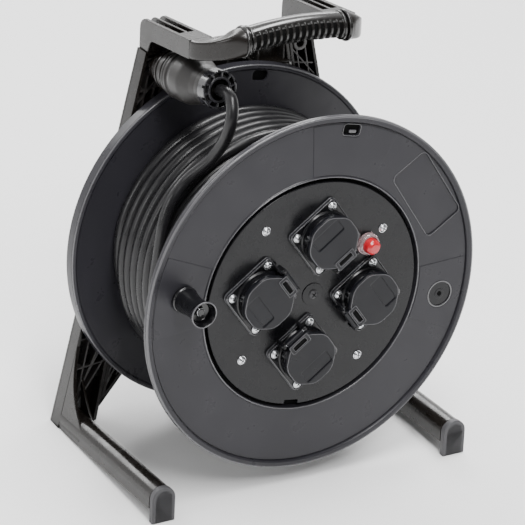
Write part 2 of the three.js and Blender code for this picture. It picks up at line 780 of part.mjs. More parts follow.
const NUT_BACK = -PLUG_LENGTH + 15;
place(
  plugSpot,
  "plug_body",
  turned(
    [
      [0, PLUG_FACE],
      [18.3, PLUG_FACE],
      [18.3, -16],
      [20, -16.6],
      [20, -20],
      [19, -21],
      [19.6, -23],
      [19.8, -42],
      [18, -54],
      [14.2, NUT_BACK + GAP],
      [0, NUT_BACK + GAP],
    ],
    24,
  ),
  "rubber",
);
place(
  plugSpot,
  "plug_gland",
  tube(CORD_D / 2 + GAP, 15.5, -PLUG_LENGTH, NUT_BACK, 24),
  "rubber",
);
for (const [name, side] of [["left", -1], ["right", 1]]) {
  const pin = rod(PIN_R, PLUG_FACE + GAP, PLUG_FACE + PIN_LENGTH, 12);
  pin.translate(pinAt(side), 0, 0);
  place(plugSpot, `plug_pin_${name}`, pin, "steel");
}

// The cord's route from the plug, in the stand's own frame, and then round the free lane.
const LANE_R = WINDING_R - CORD_D / 2 - 0.3;
const TAIL_POINTS = [
  [-55.9, 63.3, 323.4],
  [-55.5, 55.8, 324.2],
  [-55.6, 49.1, 323.6],
  [-56.8, 42.8, 320.1],
  [-58.4, 39.1, 313.2],
  [-59.7, 38.7, 304.5],
  [-60.8, 41, 295.3],
  [-62.3, 45.2, 286.2],
  [-64.9, 50.5, 276.7],
  [-69, 55.6, 267.6],
];
const LANE_FROM = 133; // degrees round the drum where the cord is over its lane
const LANE_SETTLED = 170; // and where it lies down in it
const LANE_TO = 260;
const LANE_STEP = 9;
const LANE_LIFT = 12.4;

function tailPoints() {
  const points = TAIL_POINTS.map(([x, y, z]) => new THREE.Vector3(x, y, z));
  for (let degrees = LANE_FROM; degrees <= LANE_TO; degrees += LANE_STEP) {
    const settle = THREE.MathUtils.smoothstep(degrees, LANE_FROM + 5, LANE_SETTLED);
    const r = LANE_R + LANE_LIFT * (1 - settle);
    points.push(
      new THREE.Vector3(r * Math.cos(degrees * RAD), FREE_Y, AXLE_Z + r * Math.sin(degrees * RAD)),
    );
  }
  return points;
}

function tailGeometry() {
  const path = new THREE.CatmullRomCurve3(tailPoints(), false, "centripetal");
  const section = new THREE.Shape();
  section.absarc(0, 0, CORD_D / 2, 0, 2 * Math.PI, false);
  return new THREE.ExtrudeGeometry(section, { steps: 38, curveSegments: 4, extrudePath: path });
}
place(stand, "cord_tail", tailGeometry(), "rubber");

export default reel;
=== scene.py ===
# Looks of the extension cord reel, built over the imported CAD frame. Pieces are drawn in the
# reel's own millimetres, before it leans back on its feet, and then leaned and scaled to metres.
import math

import bmesh
import bpy
from mathutils import Matrix, Vector
from mathutils.geometry import delaunay_2d_cdt


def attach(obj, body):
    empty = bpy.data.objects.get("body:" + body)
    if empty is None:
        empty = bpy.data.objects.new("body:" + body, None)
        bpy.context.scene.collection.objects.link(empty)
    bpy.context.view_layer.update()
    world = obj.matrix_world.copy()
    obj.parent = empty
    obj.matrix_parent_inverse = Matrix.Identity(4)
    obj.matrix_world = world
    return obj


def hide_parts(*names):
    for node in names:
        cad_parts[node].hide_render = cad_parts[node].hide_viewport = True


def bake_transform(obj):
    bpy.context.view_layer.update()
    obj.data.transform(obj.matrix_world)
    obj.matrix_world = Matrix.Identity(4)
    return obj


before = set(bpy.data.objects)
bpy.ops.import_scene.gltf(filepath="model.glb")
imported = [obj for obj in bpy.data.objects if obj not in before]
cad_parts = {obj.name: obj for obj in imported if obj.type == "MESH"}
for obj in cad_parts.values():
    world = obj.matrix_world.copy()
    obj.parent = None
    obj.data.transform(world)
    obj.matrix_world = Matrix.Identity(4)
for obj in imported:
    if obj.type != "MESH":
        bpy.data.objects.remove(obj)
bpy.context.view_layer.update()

RAD = math.pi / 180


def turn(degrees, axis):
    return Matrix.Rotation(degrees * RAD, 4, axis)


def move(x, y, z):
    return Matrix.Translation((x, y, z))


# ---- Places ----
LEAN = 4.5
AXLE_Z = 164.4
DRUM_TURN = -9
SOCKET_RING_R, SCREW_RING_R, BREAKER_RING_R, KNOB_RING_R = 49, 76.8, 59.5, 118
BREAKER_AT = 45  # degrees
LEANED = Matrix.Scale(0.001, 4) @ move(0, -84.3, -0.7 * math.cos(LEAN * RAD)) @ turn(-LEAN, "X")
AXLE = LEANED @ move(0, 0, AXLE_Z)
DRUM = AXLE @ turn(-DRUM_TURN, "Y")
PLUG = LEANED @ move(-61, 144.4, 314.3) @ turn(-6.4, "X") @ turn(3.65, "Z")


def on_drum(radius, degrees, spin=0):
    at = move(radius * math.cos(degrees * RAD), 0, radius * math.sin(degrees * RAD))
    return DRUM @ at @ turn(-spin, "Y")


def put(node, values):
    for socket, value in values.items():
        node.inputs[socket].default_value = value
    return node


def linked(name, data):
    made = bpy.data.objects.new(name, data)
    bpy.context.scene.collection.objects.link(made)
    return made


# ---- Camera ----
def make_camera():
    azimuth, elevation, roll = -31.39 * RAD, 24.32 * RAD, 2.77 * RAD
    back = Vector((math.sin(azimuth) * math.cos(elevation),
                   -math.cos(azimuth) * math.cos(elevation), math.sin(elevation)))
    right = Vector((math.cos(azimuth), math.sin(azimuth), 0))
    up = back.cross(right)
    across = right * math.cos(roll) + up * math.sin(roll)
    upward = up * math.cos(roll) - right * math.sin(roll)
    spot = back * 2.96927 + Vector((-0.048385, 0, 0.037081))
    pose = Matrix((across, upward, back)).transposed().to_4x4()
    pose.translation = spot
    data = bpy.data.cameras.new("camera")
    data.sensor_width = 36
    data.lens = 262.62
    data.clip_start, data.clip_end = 0.1, 30
    camera = linked("camera", data)
    lean = turn(-LEAN, "X")
    lean.translation = AXLE.translation
    camera.matrix_world = lean @ pose
    bpy.context.scene.camera = camera


make_camera()


# ---- Materials ----
def material(name, color, rough, metal=0.0, grain=0.0, grain_size=0.0006, shade=0.12, gloss_change=0.08,
             scratch=0.0, specular=0.5, coat=0.0, transmission=0.0, subsurface=0.0, ior=1.5, dust=0.0):
    made = bpy.data.materials.new(name)
    made.use_nodes = True
    nodes, links = made.node_tree.nodes, made.node_tree.links
    shader = nodes["Principled BSDF"]
    put(shader, {"Metallic": metal, "Specular IOR Level": specular, "Coat Weight": coat, "Coat Roughness": 0.12,
                 "Transmission Weight": transmission, "Subsurface Weight": subsurface,
                 "Subsurface Radius": (0.004, 0.001, 0.001), "IOR": ior})
    place = nodes.new("ShaderNodeTexCoord").outputs["Object"]

    def cloud(scale, detail, rough_noise=0.55):
        noise = put(nodes.new("ShaderNodeTexNoise"),
                    {"Scale": scale, "Detail": detail, "Roughness": rough_noise})
        links.new(place, noise.inputs["Vector"])
        return noise.outputs["Fac"]

    def remap(value, low, high, out_low, out_high):
        node = put(nodes.new("ShaderNodeMapRange"),
                   {"From Min": low, "From Max": high, "To Min": out_low, "To Max": out_high})
        links.new(value, node.inputs["Value"])
        return node.outputs["Result"]

    # Colour: slow changes of shade, with a little pale dust in the hollows of a second noise.
    ramp = nodes.new("ShaderNodeValToRGB")
    ramp.color_ramp.elements[0].position = 0.3
    ramp.color_ramp.elements[1].position = 0.7
    ramp.color_ramp.elements[0].color = (*[c * (1 - shade) for c in color], 1)
    ramp.color_ramp.elements[1].color = (*[min(1, c * (1 + shade)) for c in color], 1)
    links.new(cloud(22, 3), ramp.inputs["Fac"])
    base = ramp.outputs["Color"]
    if dust:
        mix = nodes.new("ShaderNodeMix")
        mix.data_type = "RGBA"
        mix.inputs["B"].default_value = (0.35, 0.34, 0.33, 1)
        links.new(base, mix.inputs["A"])
        links.new(remap(cloud(140, 6, 0.7), 0.56, 0.8, 0, dust), mix.inputs["Factor"])
        base = mix.outputs["Result"]
    links.new(base, shader.inputs["Base Color"])
    links.new(remap(cloud(60, 4), 0.3, 0.7, max(0.03, rough - gloss_change), min(1, rough + gloss_change)),
              shader.inputs["Roughness"])
    if grain or scratch:
        bump = put(nodes.new("ShaderNodeBump"), {"Distance": 0.0001, "Strength": min(1, grain + scratch)})
        height = cloud(0.5 / grain_size, 2)
        if scratch:
            stretch = put(nodes.new("ShaderNodeMapping"), {"Scale": (1, 14, 3), "Rotation": (0.4, 0.9, 0.3)})
            links.new(place, stretch.inputs["Vector"])
            hair = put(nodes.new("ShaderNodeTexNoise"), {"Scale": 160, "Detail": 5})
            links.new(stretch.outputs["Vector"], hair.inputs["Vector"])
            add = nodes.new("ShaderNodeMath")
            add.operation = "MULTIPLY_ADD"
            add.inputs[1].default_value = scratch / (grain + scratch)
            links.new(hair.outputs["Fac"], add.inputs[0])
            links.new(height, add.inputs[2])
            height = add.outputs["Value"]
        links.new(height, bump.inputs["Height"])
        links.new(bump.outputs["Normal"], shader.inputs["Normal"])
    return made


M = {
    "drum": material("drum_plastic", (0.0225, 0.0218, 0.0262), 0.33, grain=0.10, grain_size=0.0005, shade=0.06,
                     specular=0.3),
    "edge": material("drum_edge", (0.024, 0.0235, 0.0275), 0.22, grain=0.03, gloss_change=0.04, shade=0.05,
                     specular=0.9, coat=0.4),
    # Painted highlight: a lighter grey for thin beads and rings that stand for the bright lines along rims and
    # edges.
    "line": material("painted_highlight_line", (0.075, 0.074, 0.08), 0.25, grain=0.03, gloss_change=0.04, specular=0.8),
    "panel": material("panel_plastic", (0.006, 0.006, 0.0072), 0.27, grain=0.05, grain_size=0.0005, dust=0.006,
                      specular=0.3),
    "socket": material("socket_plastic", (0.004, 0.004, 0.005), 0.26, grain=0.08, grain_size=0.0004, dust=0.01,
                       specular=0.4),
    "lid": material("lid_plastic", (0.006, 0.0062, 0.0085), 0.34, grain=0.2, grain_size=0.00045, dust=0.012,
                    specular=0.27),
    # The gaskets' rubber, given a lighter grey to paint the highlight lines along their edges.
    "seal": material("seal_rubber_painted_highlight", (0.045, 0.045, 0.05), 0.25, grain=0.05, specular=0.8),
    "frame": material("frame_plastic", (0.0085, 0.0070, 0.0060), 0.27, grain=0.05, grain_size=0.0012, coat=0.1,
                      dust=0.01, specular=0.35),
    "rib": material("rib_plastic", (0.024, 0.022, 0.021), 0.30, grain=0.05, coat=0.2, dust=0.04),
    "grip": material("grip_plastic", (0.010, 0.0095, 0.009), 0.22, grain=0.06, coat=0.3, dust=0.03),
    "cap": material("cap_rubber", (0.055, 0.054, 0.058), 0.55, grain=0.25, grain_size=0.0007, dust=0.05),
    "cord": material("cord_rubber", (0.010, 0.0098, 0.0108), 0.31, grain=0.01, grain_size=0.0011, dust=0.01,
                     shade=0.1, specular=0.4),
    "plug": material("plug_rubber", (0.016, 0.0148, 0.014), 0.42, grain=0.12, grain_size=0.0006, dust=0.04),
    "knob": material("knob_plastic", (0.005, 0.005, 0.006), 0.22, grain=0.03, coat=0.3, dust=0.01),
    # Painted shade: a flat, nearly black look put into holes, slots, grooves and gaps to stand for the shade
    # inside them.
    "black": material("painted_shade_black", (0.002, 0.002, 0.002), 0.7, grain=0.1, specular=0.08),
    "zinc": material("zinc_steel", (0.72, 0.73, 0.75), 0.26, metal=1, grain=0.06, grain_size=0.0008,
                     scratch=0.06),
    "bush": material("bearing_plastic", (0.62, 0.58, 0.5), 0.5, grain=0.08),
    "clear": material("clear_plastic", (0.93, 0.74, 0.76), 0.10, transmission=0.85, ior=1.45, shade=0.03),
    "red": material("red_plastic", (0.75, 0.02, 0.035), 0.14, transmission=0.35, subsurface=0.25, coat=0.5,
                    shade=0.08),
}


# ---- Shapes: each returns (points, faces) in millimetres, closed, faces outward ----
def outward(points, faces):
    volume = 0
    for face in faces:
        a = Vector(points[face[0]])
        for i in range(1, len(face) - 1):
            volume += a.dot(Vector(points[face[i]]).cross(Vector(points[face[i + 1]])))
    return (points, [tuple(reversed(f)) for f in faces] if volume < 0 else faces)


def placed(part, matrix):
    return ([tuple(matrix @ Vector(p)) for p in part[0]], part[1])


def fillet(points, radius, steps=4):
    """Rounds the corners of a closed outline. A point may carry its own radius as a third number."""
    out, count = [], len(points)
    for i, point in enumerate(points):
        here = Vector(point[:2])
        before = Vector(points[i - 1][:2])
        after = Vector(points[(i + 1) % count][:2])
        wanted = point[2] if len(point) > 2 else radius
        a, b = before - here, after - here
        if wanted <= 0 or a.length < 1e-6 or b.length < 1e-6:
            out.append(tuple(here))
            continue
        half = a.angle(b) / 2
        if half > 1.55 or half < 0.02:
            out.append(tuple(here))
            continue
        back_off = min(wanted / math.tan(half), a.length * 0.48, b.length * 0.48)
        r = back_off * math.tan(half)
        centre = here + (a.normalized() + b.normalized()).normalized() * (r / math.sin(half))
        first = here + a.normalized() * back_off - centre
        last = here + b.normalized() * back_off - centre
        swing = first.angle_signed(last)
        for k in range(steps + 1):
            angle = swing * k / steps
            out.append((centre.x + first.x * math.cos(-angle) - first.y * math.sin(-angle),
                        centre.y + first.x * math.sin(-angle) + first.y * math.cos(-angle)))
    return out


def lathe(profile, segments=96, axis="Y"):
    """Turns a closed outline of (radius, y) about Y, or about X with (radius, x)."""
    points, rings = [], []
    for r, y in profile:
        if r < 1e-6:
            rings.append([len(points)])
            points.append((0, y, 0))
            continue
        rings.append(list(range(len(points), len(points) + segments)))
        points += [(r * math.cos(2 * math.pi * k / segments), y, r * math.sin(2 * math.pi * k / segments))
                   for k in range(segments)]
    faces = []
    for i, ring in enumerate(rings):
        other = rings[(i + 1) % len(rings)]
        if len(ring) == 1 and len(other) == 1:
            continue
        for k in range(segments):
            n = (k + 1) % segments
            if len(ring) == 1:
                faces.append((ring[0], other[n], other[k]))
            elif len(other) == 1:
                faces.append((ring[k], ring[n], other[0]))
            else:
                faces.append((ring[k], ring[n], other[n], other[k]))
    if axis == "X":
        points = [(y, -x, z) for x, y, z in points]
    return outward(points, faces)


def ring(r_in, r_out, low, high, soft=0.4, segments=64, steps=4, axis="Y"):
    """A ring of rectangular section with rounded corners, or a disc when r_in is 0."""
    return lathe(fillet([(r_in, low), (r_out, low), (r_out, high), (r_in, high)], soft, steps), segments, axis)


def inset(outline, distance):
    """The counter-clockwise outline moved inwards."""
    out = []
    for i, here in enumerate(outline):
        a = (Vector(here) - Vector(outline[i - 1])).normalized()
        b = (Vector(outline[(i + 1) % len(outline)]) - Vector(here)).normalized()
        na, nb = Vector((-a.y, a.x)), Vector((-b.y, b.x))
        out.append(tuple(Vector(here) + (na + nb) * (distance / max(0.3, 1 + na.dot(nb)))))
    return out


def tidy_outline(outline):
    kept = [p for i, p in enumerate(outline) if (Vector(p) - Vector(outline[i - 1])).length > 1e-3]
    area = sum(p[0] * q[1] - q[0] * p[1] for p, q in zip(kept, kept[1:] + kept[:1]))
    return kept if area > 0 else kept[::-1]


def fill(outlines):
    """Triangles over the first outline less the others, as places in all their points taken in order."""
    spots = [p for outline in outlines for p in outline]
    edges, start = [], 0
    for outline in outlines:
        edges += [(start + k, start + (k + 1) % len(outline)) for k in range(len(outline))]
        start += len(outline)
    walls = [(*spots[a], *spots[b]) for a, b in edges if spots[a][1] != spots[b][1]]
    _, _, triangles, origin, _, _ = delaunay_2d_cdt([Vector(p) for p in spots], edges, [], 0, 1e-6)
    kept = []
    for triangle in triangles:
        a, b, c = (origin[i][0] for i in triangle)
        x, y = (sum(spots[i][axis] for i in (a, b, c)) / 3 for axis in (0, 1))
        crossed = sum(x < ax + (y - ay) / (by - ay) * (bx - ax)
                      for ax, ay, bx, by in walls if (ay > y) != (by > y))
        if crossed % 2:
            kept.append((a, b, c))
    return kept


def plate(outlines, low, high, bevel=0.4, plane="XZ", steps=2):
    """A plate with rounded edges: the first outline is its edge and the others are holes."""
    levels = []
    for k in range(steps + 1):
        angle = 90 * RAD * k / steps
        levels.append((bevel * (1 - math.sin(angle)), low + bevel * (1 - math.cos(angle))))
    levels += [(offset, low + high - height) for offset, height in reversed(levels)]
    points, faces, low_rim, high_rim = [], [], [], []
    cleaned = [tidy_outline(outline) for outline in outlines]
    for number, clean in enumerate(cleaned):
        count, base = len(clean), len(points)
        for offset, height in levels:
            points += [(a, b, height) for a, b in inset(clean, offset if number == 0 else -offset)]
        for level in range(len(levels) - 1):
            start, above = base + level * count, base + (level + 1) * count
            for k in range(count):
                n = (k + 1) % count
                face = (start + k, start + n, above + n, above + k)
                faces.append(face if number == 0 else face[::-1])
        low_rim += range(base, base + count)
        high_rim += range(base + (len(levels) - 1) * count, base + len(levels) * count)
    for a, b, c in fill(cleaned):
        faces += [(low_rim[c], low_rim[b], low_rim[a]), (high_rim[a], high_rim[b], high_rim[c])]
    order = {"XZ": lambda a, b, h: (a, h, b), "YZ": lambda a, b, h: (h, a, b), "XY": lambda a, b, h: (a, b, h)}
    return outward([order[plane](*p) for p in points], faces)


def block(x0, x1, y0, y1, z0, z1, bevel=0.3):
    return plate([[(x0, z0), (x1, z0), (x1, z1), (x0, z1)]], y0, y1, bevel)


def circle(r, at=(0, 0), count=64, start=0.0, end=360.0):
    full = abs(end - start) >= 360
    steps = count if full else count + 1
    return [(at[0] + r * math.cos((start + (end - start) * k / count) * RAD),
             at[1] + r * math.sin((start + (end - start) * k / count) * RAD)) for k in range(steps)]


def sector(r_in, r_out, start, end, count=24):
    return circle(r_out, count=count, start=start, end=end) + circle(r_in, count=count, start=end, end=start)


def polar(r, degrees):
    return (r * math.cos(degrees * RAD), r * math.sin(degrees * RAD))


def loft(sections, closed_ends=True):
    """Joins rings of equal numbers of points, in order."""
    count = len(sections[0])
    points = [p for section in sections for p in section]
    faces = []
    for i in range(len(sections) - 1):
        a, b = i * count, (i + 1) * count
        faces += [(a + k, a + (k + 1) % count, b + (k + 1) % count, b + k) for k in range(count)]
    if closed_ends:
        last = (len(sections) - 1) * count
        faces += [tuple(range(count)), tuple(last + k for k in reversed(range(count)))]
    return outward(points, faces)


def tube_along(path, radius, sides=14):
    """A round bar along a list of points, its section carried along without twisting."""
    spots = [Vector(p) for p in path]
    sections, side = [], None
    for i, spot in enumerate(spots):
        ahead = (spots[min(i + 1, len(spots) - 1)] - spots[max(i - 1, 0)]).normalized()
        if side is None:
            side = ahead.orthogonal().normalized()
        side = (side - ahead * side.dot(ahead)).normalized()
        up = ahead.cross(side)
        sections.append([tuple(spot + (side * math.cos(2 * math.pi * k / sides)
                                       + up * math.sin(2 * math.pi * k / sides)) * radius)
                         for k in range(sides)])
    return loft(sections)


def smooth_path(points, per=8):
    """Catmull-Rom through the points."""
    spots = [Vector(p) for p in points]
    spots = [spots[0] * 2 - spots[1]] + spots + [spots[-1] * 2 - spots[-2]]
    out = []
    for i in range(1, len(spots) - 2):
        a, b, c, d = spots[i - 1:i + 3]
        for k in range(per):
            t = k / per
            out.append(0.5 * ((2 * b) + (c - a) * t + (2 * a - 5 * b + 4 * c - d) * t ** 2
                              + (3 * b - a - 3 * c + d) * t ** 3))
    out.append(spots[-2])
    return [tuple(p) for p in out]


def smoothstep(value, low, high):
    t = max(0, min(1, (value - low) / (high - low)))
    return t * t * (3 - 2 * t)


# ---- Pieces ----
def piece(name, parts, where, body, stands_for=(), angle=32, on_floor=False, blend=None):
    """One object from a list of (look, part) or (look, part, matrix) entries, in millimetres."""
    points, faces, looks, indices = [], [], [], []
    for look, part, *extra in parts:
        if look not in looks:
            looks.append(look)
        matrix = where @ extra[0] if extra else where
        base = len(points)
        points += [tuple(matrix @ Vector(p)) for p in part[0]]
        faces += [tuple(base + i for i in f) for f in part[1]]
        indices += [looks.index(look)] * len(part[1])
    mesh = bpy.data.meshes.new(name)
    mesh.from_pydata(points, [], faces)
    mesh.polygons.foreach_set("material_index", indices)
    for look in looks:
        mesh.materials.append(M[look])
    if on_floor:
        bm = bmesh.new()
        bm.from_mesh(mesh)
        kept = bmesh.ops.bisect_plane(bm, geom=[*bm.verts, *bm.edges, *bm.faces], plane_co=(0, 0, 0.00001),
                                      plane_no=(0, 0, -1), clear_outer=True)
        rim = [e for e in kept["geom_cut"] if isinstance(e, bmesh.types.BMEdge)]
        bmesh.ops.holes_fill(bm, edges=rim)
        bm.to_mesh(mesh)
        bm.free()
    mesh.shade_smooth()
    mesh.set_sharp_from_angle(angle=angle * RAD)
    made = linked(name, mesh)
    weighted = made.modifiers.new("even_shading", "WEIGHTED_NORMAL")
    weighted.keep_sharp = True
    weighted.weight = 60
    if blend:
        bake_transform(made)
    else:
        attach(made, body)
    if stands_for:
        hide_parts(*stands_for)
    return made


# ---- Cord: the winding on the barrel, then the stretch up to the plug ----
CORD_D = 9.9
LANE = 10.2
WINDING_FRONT = 8
LAYER_R = (82.5, 90.9, 99.3, 107.75)
FREE_LANE = 6


def lane_y(lane):
    return WINDING_FRONT + LANE * (lane - 0.5)


def winding_path():
    """From the barrel out: full layers, then the turns on the sockets' side of the free lane."""
    step = 10
    route = []  # (radius, lane position, degrees), with degrees falling as the cord goes out

    def run(layer, first, last, degrees):
        turns = abs(last - first) + 1
        sign = 1 if last >= first else -1
        count = round(turns * 360 / step)
        for k in range(count):
            at = k * step
            ring, along = divmod(at, 360)
            shift = smoothstep(along, 290, 360)
            lane = first + sign * min(ring + shift, turns - 1)
            route.append((LAYER_R[layer], lane, degrees - at))
        return degrees - turns * 360

    at = 260
    at = run(0, 1, 12, at)
    at = run(1, 12, 1, at)
    at = run(2, 1, 5, at)
    at = run(3, 5, 1, at)
    crossing = 70
    for k in range(1, crossing // step):
        part = k * step / crossing
        lift = math.sin(part * math.pi) * 9.5
        radius = LAYER_R[3] + (LAYER_R[2] - LAYER_R[3]) * smoothstep(part, 0.6, 1)
        route.append((radius + lift, 1 + 5 * smoothstep(part, 0, 1), at - k * step))
    at -= crossing
    at = run(2, 6, 12, at)
    at = run(3, 12, 7, at)
    end = at - ((at - 262) % 360)
    while at > end:
        route.append((LAYER_R[3], 7 - smoothstep(end + 40 - at, 0, 38), at))
        at -= step
    route.append((LAYER_R[3], FREE_LANE, end))
    # Layers climb over a quarter turn instead of a sudden step.
    radii = [r for r, _, _ in route]
    eased = [sum(radii[max(0, i - 3):i + 4]) / len(radii[max(0, i - 3):i + 4]) for i in range(len(radii))]
    lanes = [lane for _, lane, _ in route]
    soft = [sum(lanes[max(0, i - 1):i + 2]) / len(lanes[max(0, i - 1):i + 2]) for i in range(len(lanes))]
    return [(r * math.cos(a * RAD), lane_y(lane), r * math.sin(a * RAD))
            for r, lane, (_, _, a) in zip(eased, soft, route)]


def row_points(path, where):
    return [tuple(where @ Vector(p)) for p in path]


coil_route = smooth_path(winding_path(), 3)
winding = piece("cable_winding", [("cord", tube_along(coil_route, CORD_D / 2, 14))], AXLE, "drum",
                ["cord_winding"], angle=60)

FREE_Y = lane_y(FREE_LANE)
TAIL_POINTS = [
    (-55.9, 63.3, 323.4), (-55.5, 55.8, 324.2), (-55.6, 49.1, 323.6), (-56.8, 42.8, 320.1),
    (-58.4, 39.1, 313.2), (-59.7, 38.7, 304.5), (-60.8, 41, 295.3), (-62.3, 45.2, 286.2),
    (-64.9, 50.5, 276.7), (-69, 55.6, 267.6),
]
for degrees in range(133, 261, 9):
    radius = LAYER_R[3] + 12.4 * (1 - smoothstep(degrees, 138, 170))
    x, z = polar(radius, degrees)
    TAIL_POINTS.append((x, FREE_Y, AXLE_Z + z))
tail_route = smooth_path(list(reversed(TAIL_POINTS)), 6)
tail = piece("cable_tail", [("cord", tube_along(tail_route, CORD_D / 2, 20))], LEANED, "frame",
             ["cord_tail"], angle=60,
             blend=("frame", "plug", *row_points([(-62, 45, 286), (-56, 58, 324)], LEANED)))


# ---- Plug and its holder ----
PLUG_FACE, NUT_BACK, PLUG_END = -12.3, -67, -82


def plug_pieces():
    body = fillet([(0, PLUG_FACE, 0), (16.2, PLUG_FACE, 0.6), (16.4, -24.6, 0.3), (18.9, -25.1, 0.6),
                   (18.9, -27.2, 0.6), (17.9, -27.7, 0.3), (17.9, -28.5, 0.3), (19.5, -29, 0.7),
                   (19.5, -31.6, 0.7), (18.4, -32.4, 0.4), (19.9, -38, 8), (19.9, -49, 10), (15.6, -60, 7),
                   (14.3, NUT_BACK + 0.3, 0.6), (0, NUT_BACK + 0.3, 0)], 0.5, 6)
    sleeve = [("frame", ring(16, 17, y, y - 1.6, steps=3))
              for y in (-13, -19.5)]
    shell = piece("plug_shell", [("plug", lathe(body, 96))] + sleeve, PLUG, "plug", ["plug_body"],
                  angle=40)
    bed = lathe(fillet([(5.3, NUT_BACK), (15.1, NUT_BACK), (15.5, NUT_BACK - 4), (15.5, NUT_BACK - 6.4),
                        (12.2, NUT_BACK - 8), (12.2, NUT_BACK - 11), (5.3, NUT_BACK - 11)], 0.5), 80)
    parts = [("plug", bed)]
    for i in range(10):
        tooth = plate([sector(9.6, 14.4, i * 36 + 3, i * 36 + 11, 4)], PLUG_END + 0.4, NUT_BACK - 5.5, 0.4)
        parts.append(("edge", tooth))
        # Black plates in the rim's notches paint the shade inside them.
        notch = plate([sector(14.9, 15.6, i * 36 + 14, i * 36 + 22, 4)], PLUG_END - 0.05, PLUG_END + 3, 0.15)
        parts.append(("black", notch))
    parts.append(("edge", ring(13.9, 15.5, PLUG_END + 0.1, NUT_BACK - 5, 0.7, 80)))
    parts.append(("edge", lathe(fillet([(8.6, PLUG_END + 0.2), (10.6, PLUG_END), (10.6, NUT_BACK - 6),
                                        (8.6, NUT_BACK - 6)], 0.4), 64)))
    # Black rings inside the nut, round the cord, paint the shade in its bore.
    parts.append(("black", ring(5.3, 14.6, NUT_BACK - 4, NUT_BACK - 9.5, 0.3)))
    parts.append(("black", ring(5.25, 8.8, NUT_BACK - 6, PLUG_END + 3.5, 0.3)))
    nut = piece("plug_nut", parts, PLUG, "plug", ["plug_gland"])
    pins = []
    for name, side in (("left", -1), ("right", 1)):
        pin = lathe(fillet([(0, -12, 0), (2.4, -12, 0.1), (2.4, 6.7, 1.6), (0, 6.7, 0)], 0.2), 32)
        pins.append(piece(f"pin_{name}", [("zinc", pin)], PLUG @ move(side * 9.5, 0, 0), "plug",
                          [f"plug_pin_{name}"]))
    return [shell, nut, *pins]


plug_set = plug_pieces()


def holder_piece():
    # The sleeve stands out of the leg, with rings round it, and the pins go into its floor.
    bored = [circle(3, (side * 9.5, 0), 20) for side in (-1, 1)]
    face = plate([circle(12.6, count=64), *bored], -11.9, 0.5, 0.5)
    parts = [("frame", face)]
    for y in (-11.6, -8.4, -4.6):
        parts.append(("frame", ring(11.5, 13, y, y + 2, 0.5, 72)))
    piece("holder_sleeve", parts, PLUG, "frame", ["plug_holder"])


holder_piece()


# ---- Drum: flanges ----
def ring_plate(r_out, r_in, *holes, low, high, bevel=0.4, count=144):
    return plate([circle(r_out, count=count), circle(r_in, count=count), *holes], low, high, bevel)


def rounded_box(width, height, radius, at=(0, 0), spin=0.0, steps=6):
    w, h = width / 2, height / 2
    outline = fillet([(-w, -h), (w, -h), (w, h), (-w, h)], radius, steps)
    c, s = math.cos(spin * RAD), math.sin(spin * RAD)
    return [(at[0] + x * c - y * s, at[1] + x * s + y * c) for x, y in outline]


def bead(radius, y, thick):
    """A thin round ring about the drum's axis."""
    return lathe([(radius + thick * math.cos(k * math.pi / 6), y + thick * math.sin(k * math.pi / 6))
                  for k in range(12)], 224)


SLOT_AT = polar(137.6, 87.2)
LABEL_AT = polar(122, 42.3)
DIMPLE_AT = polar(123, -2)
SPINDLE_AT = (-KNOB_RING_R, 0)


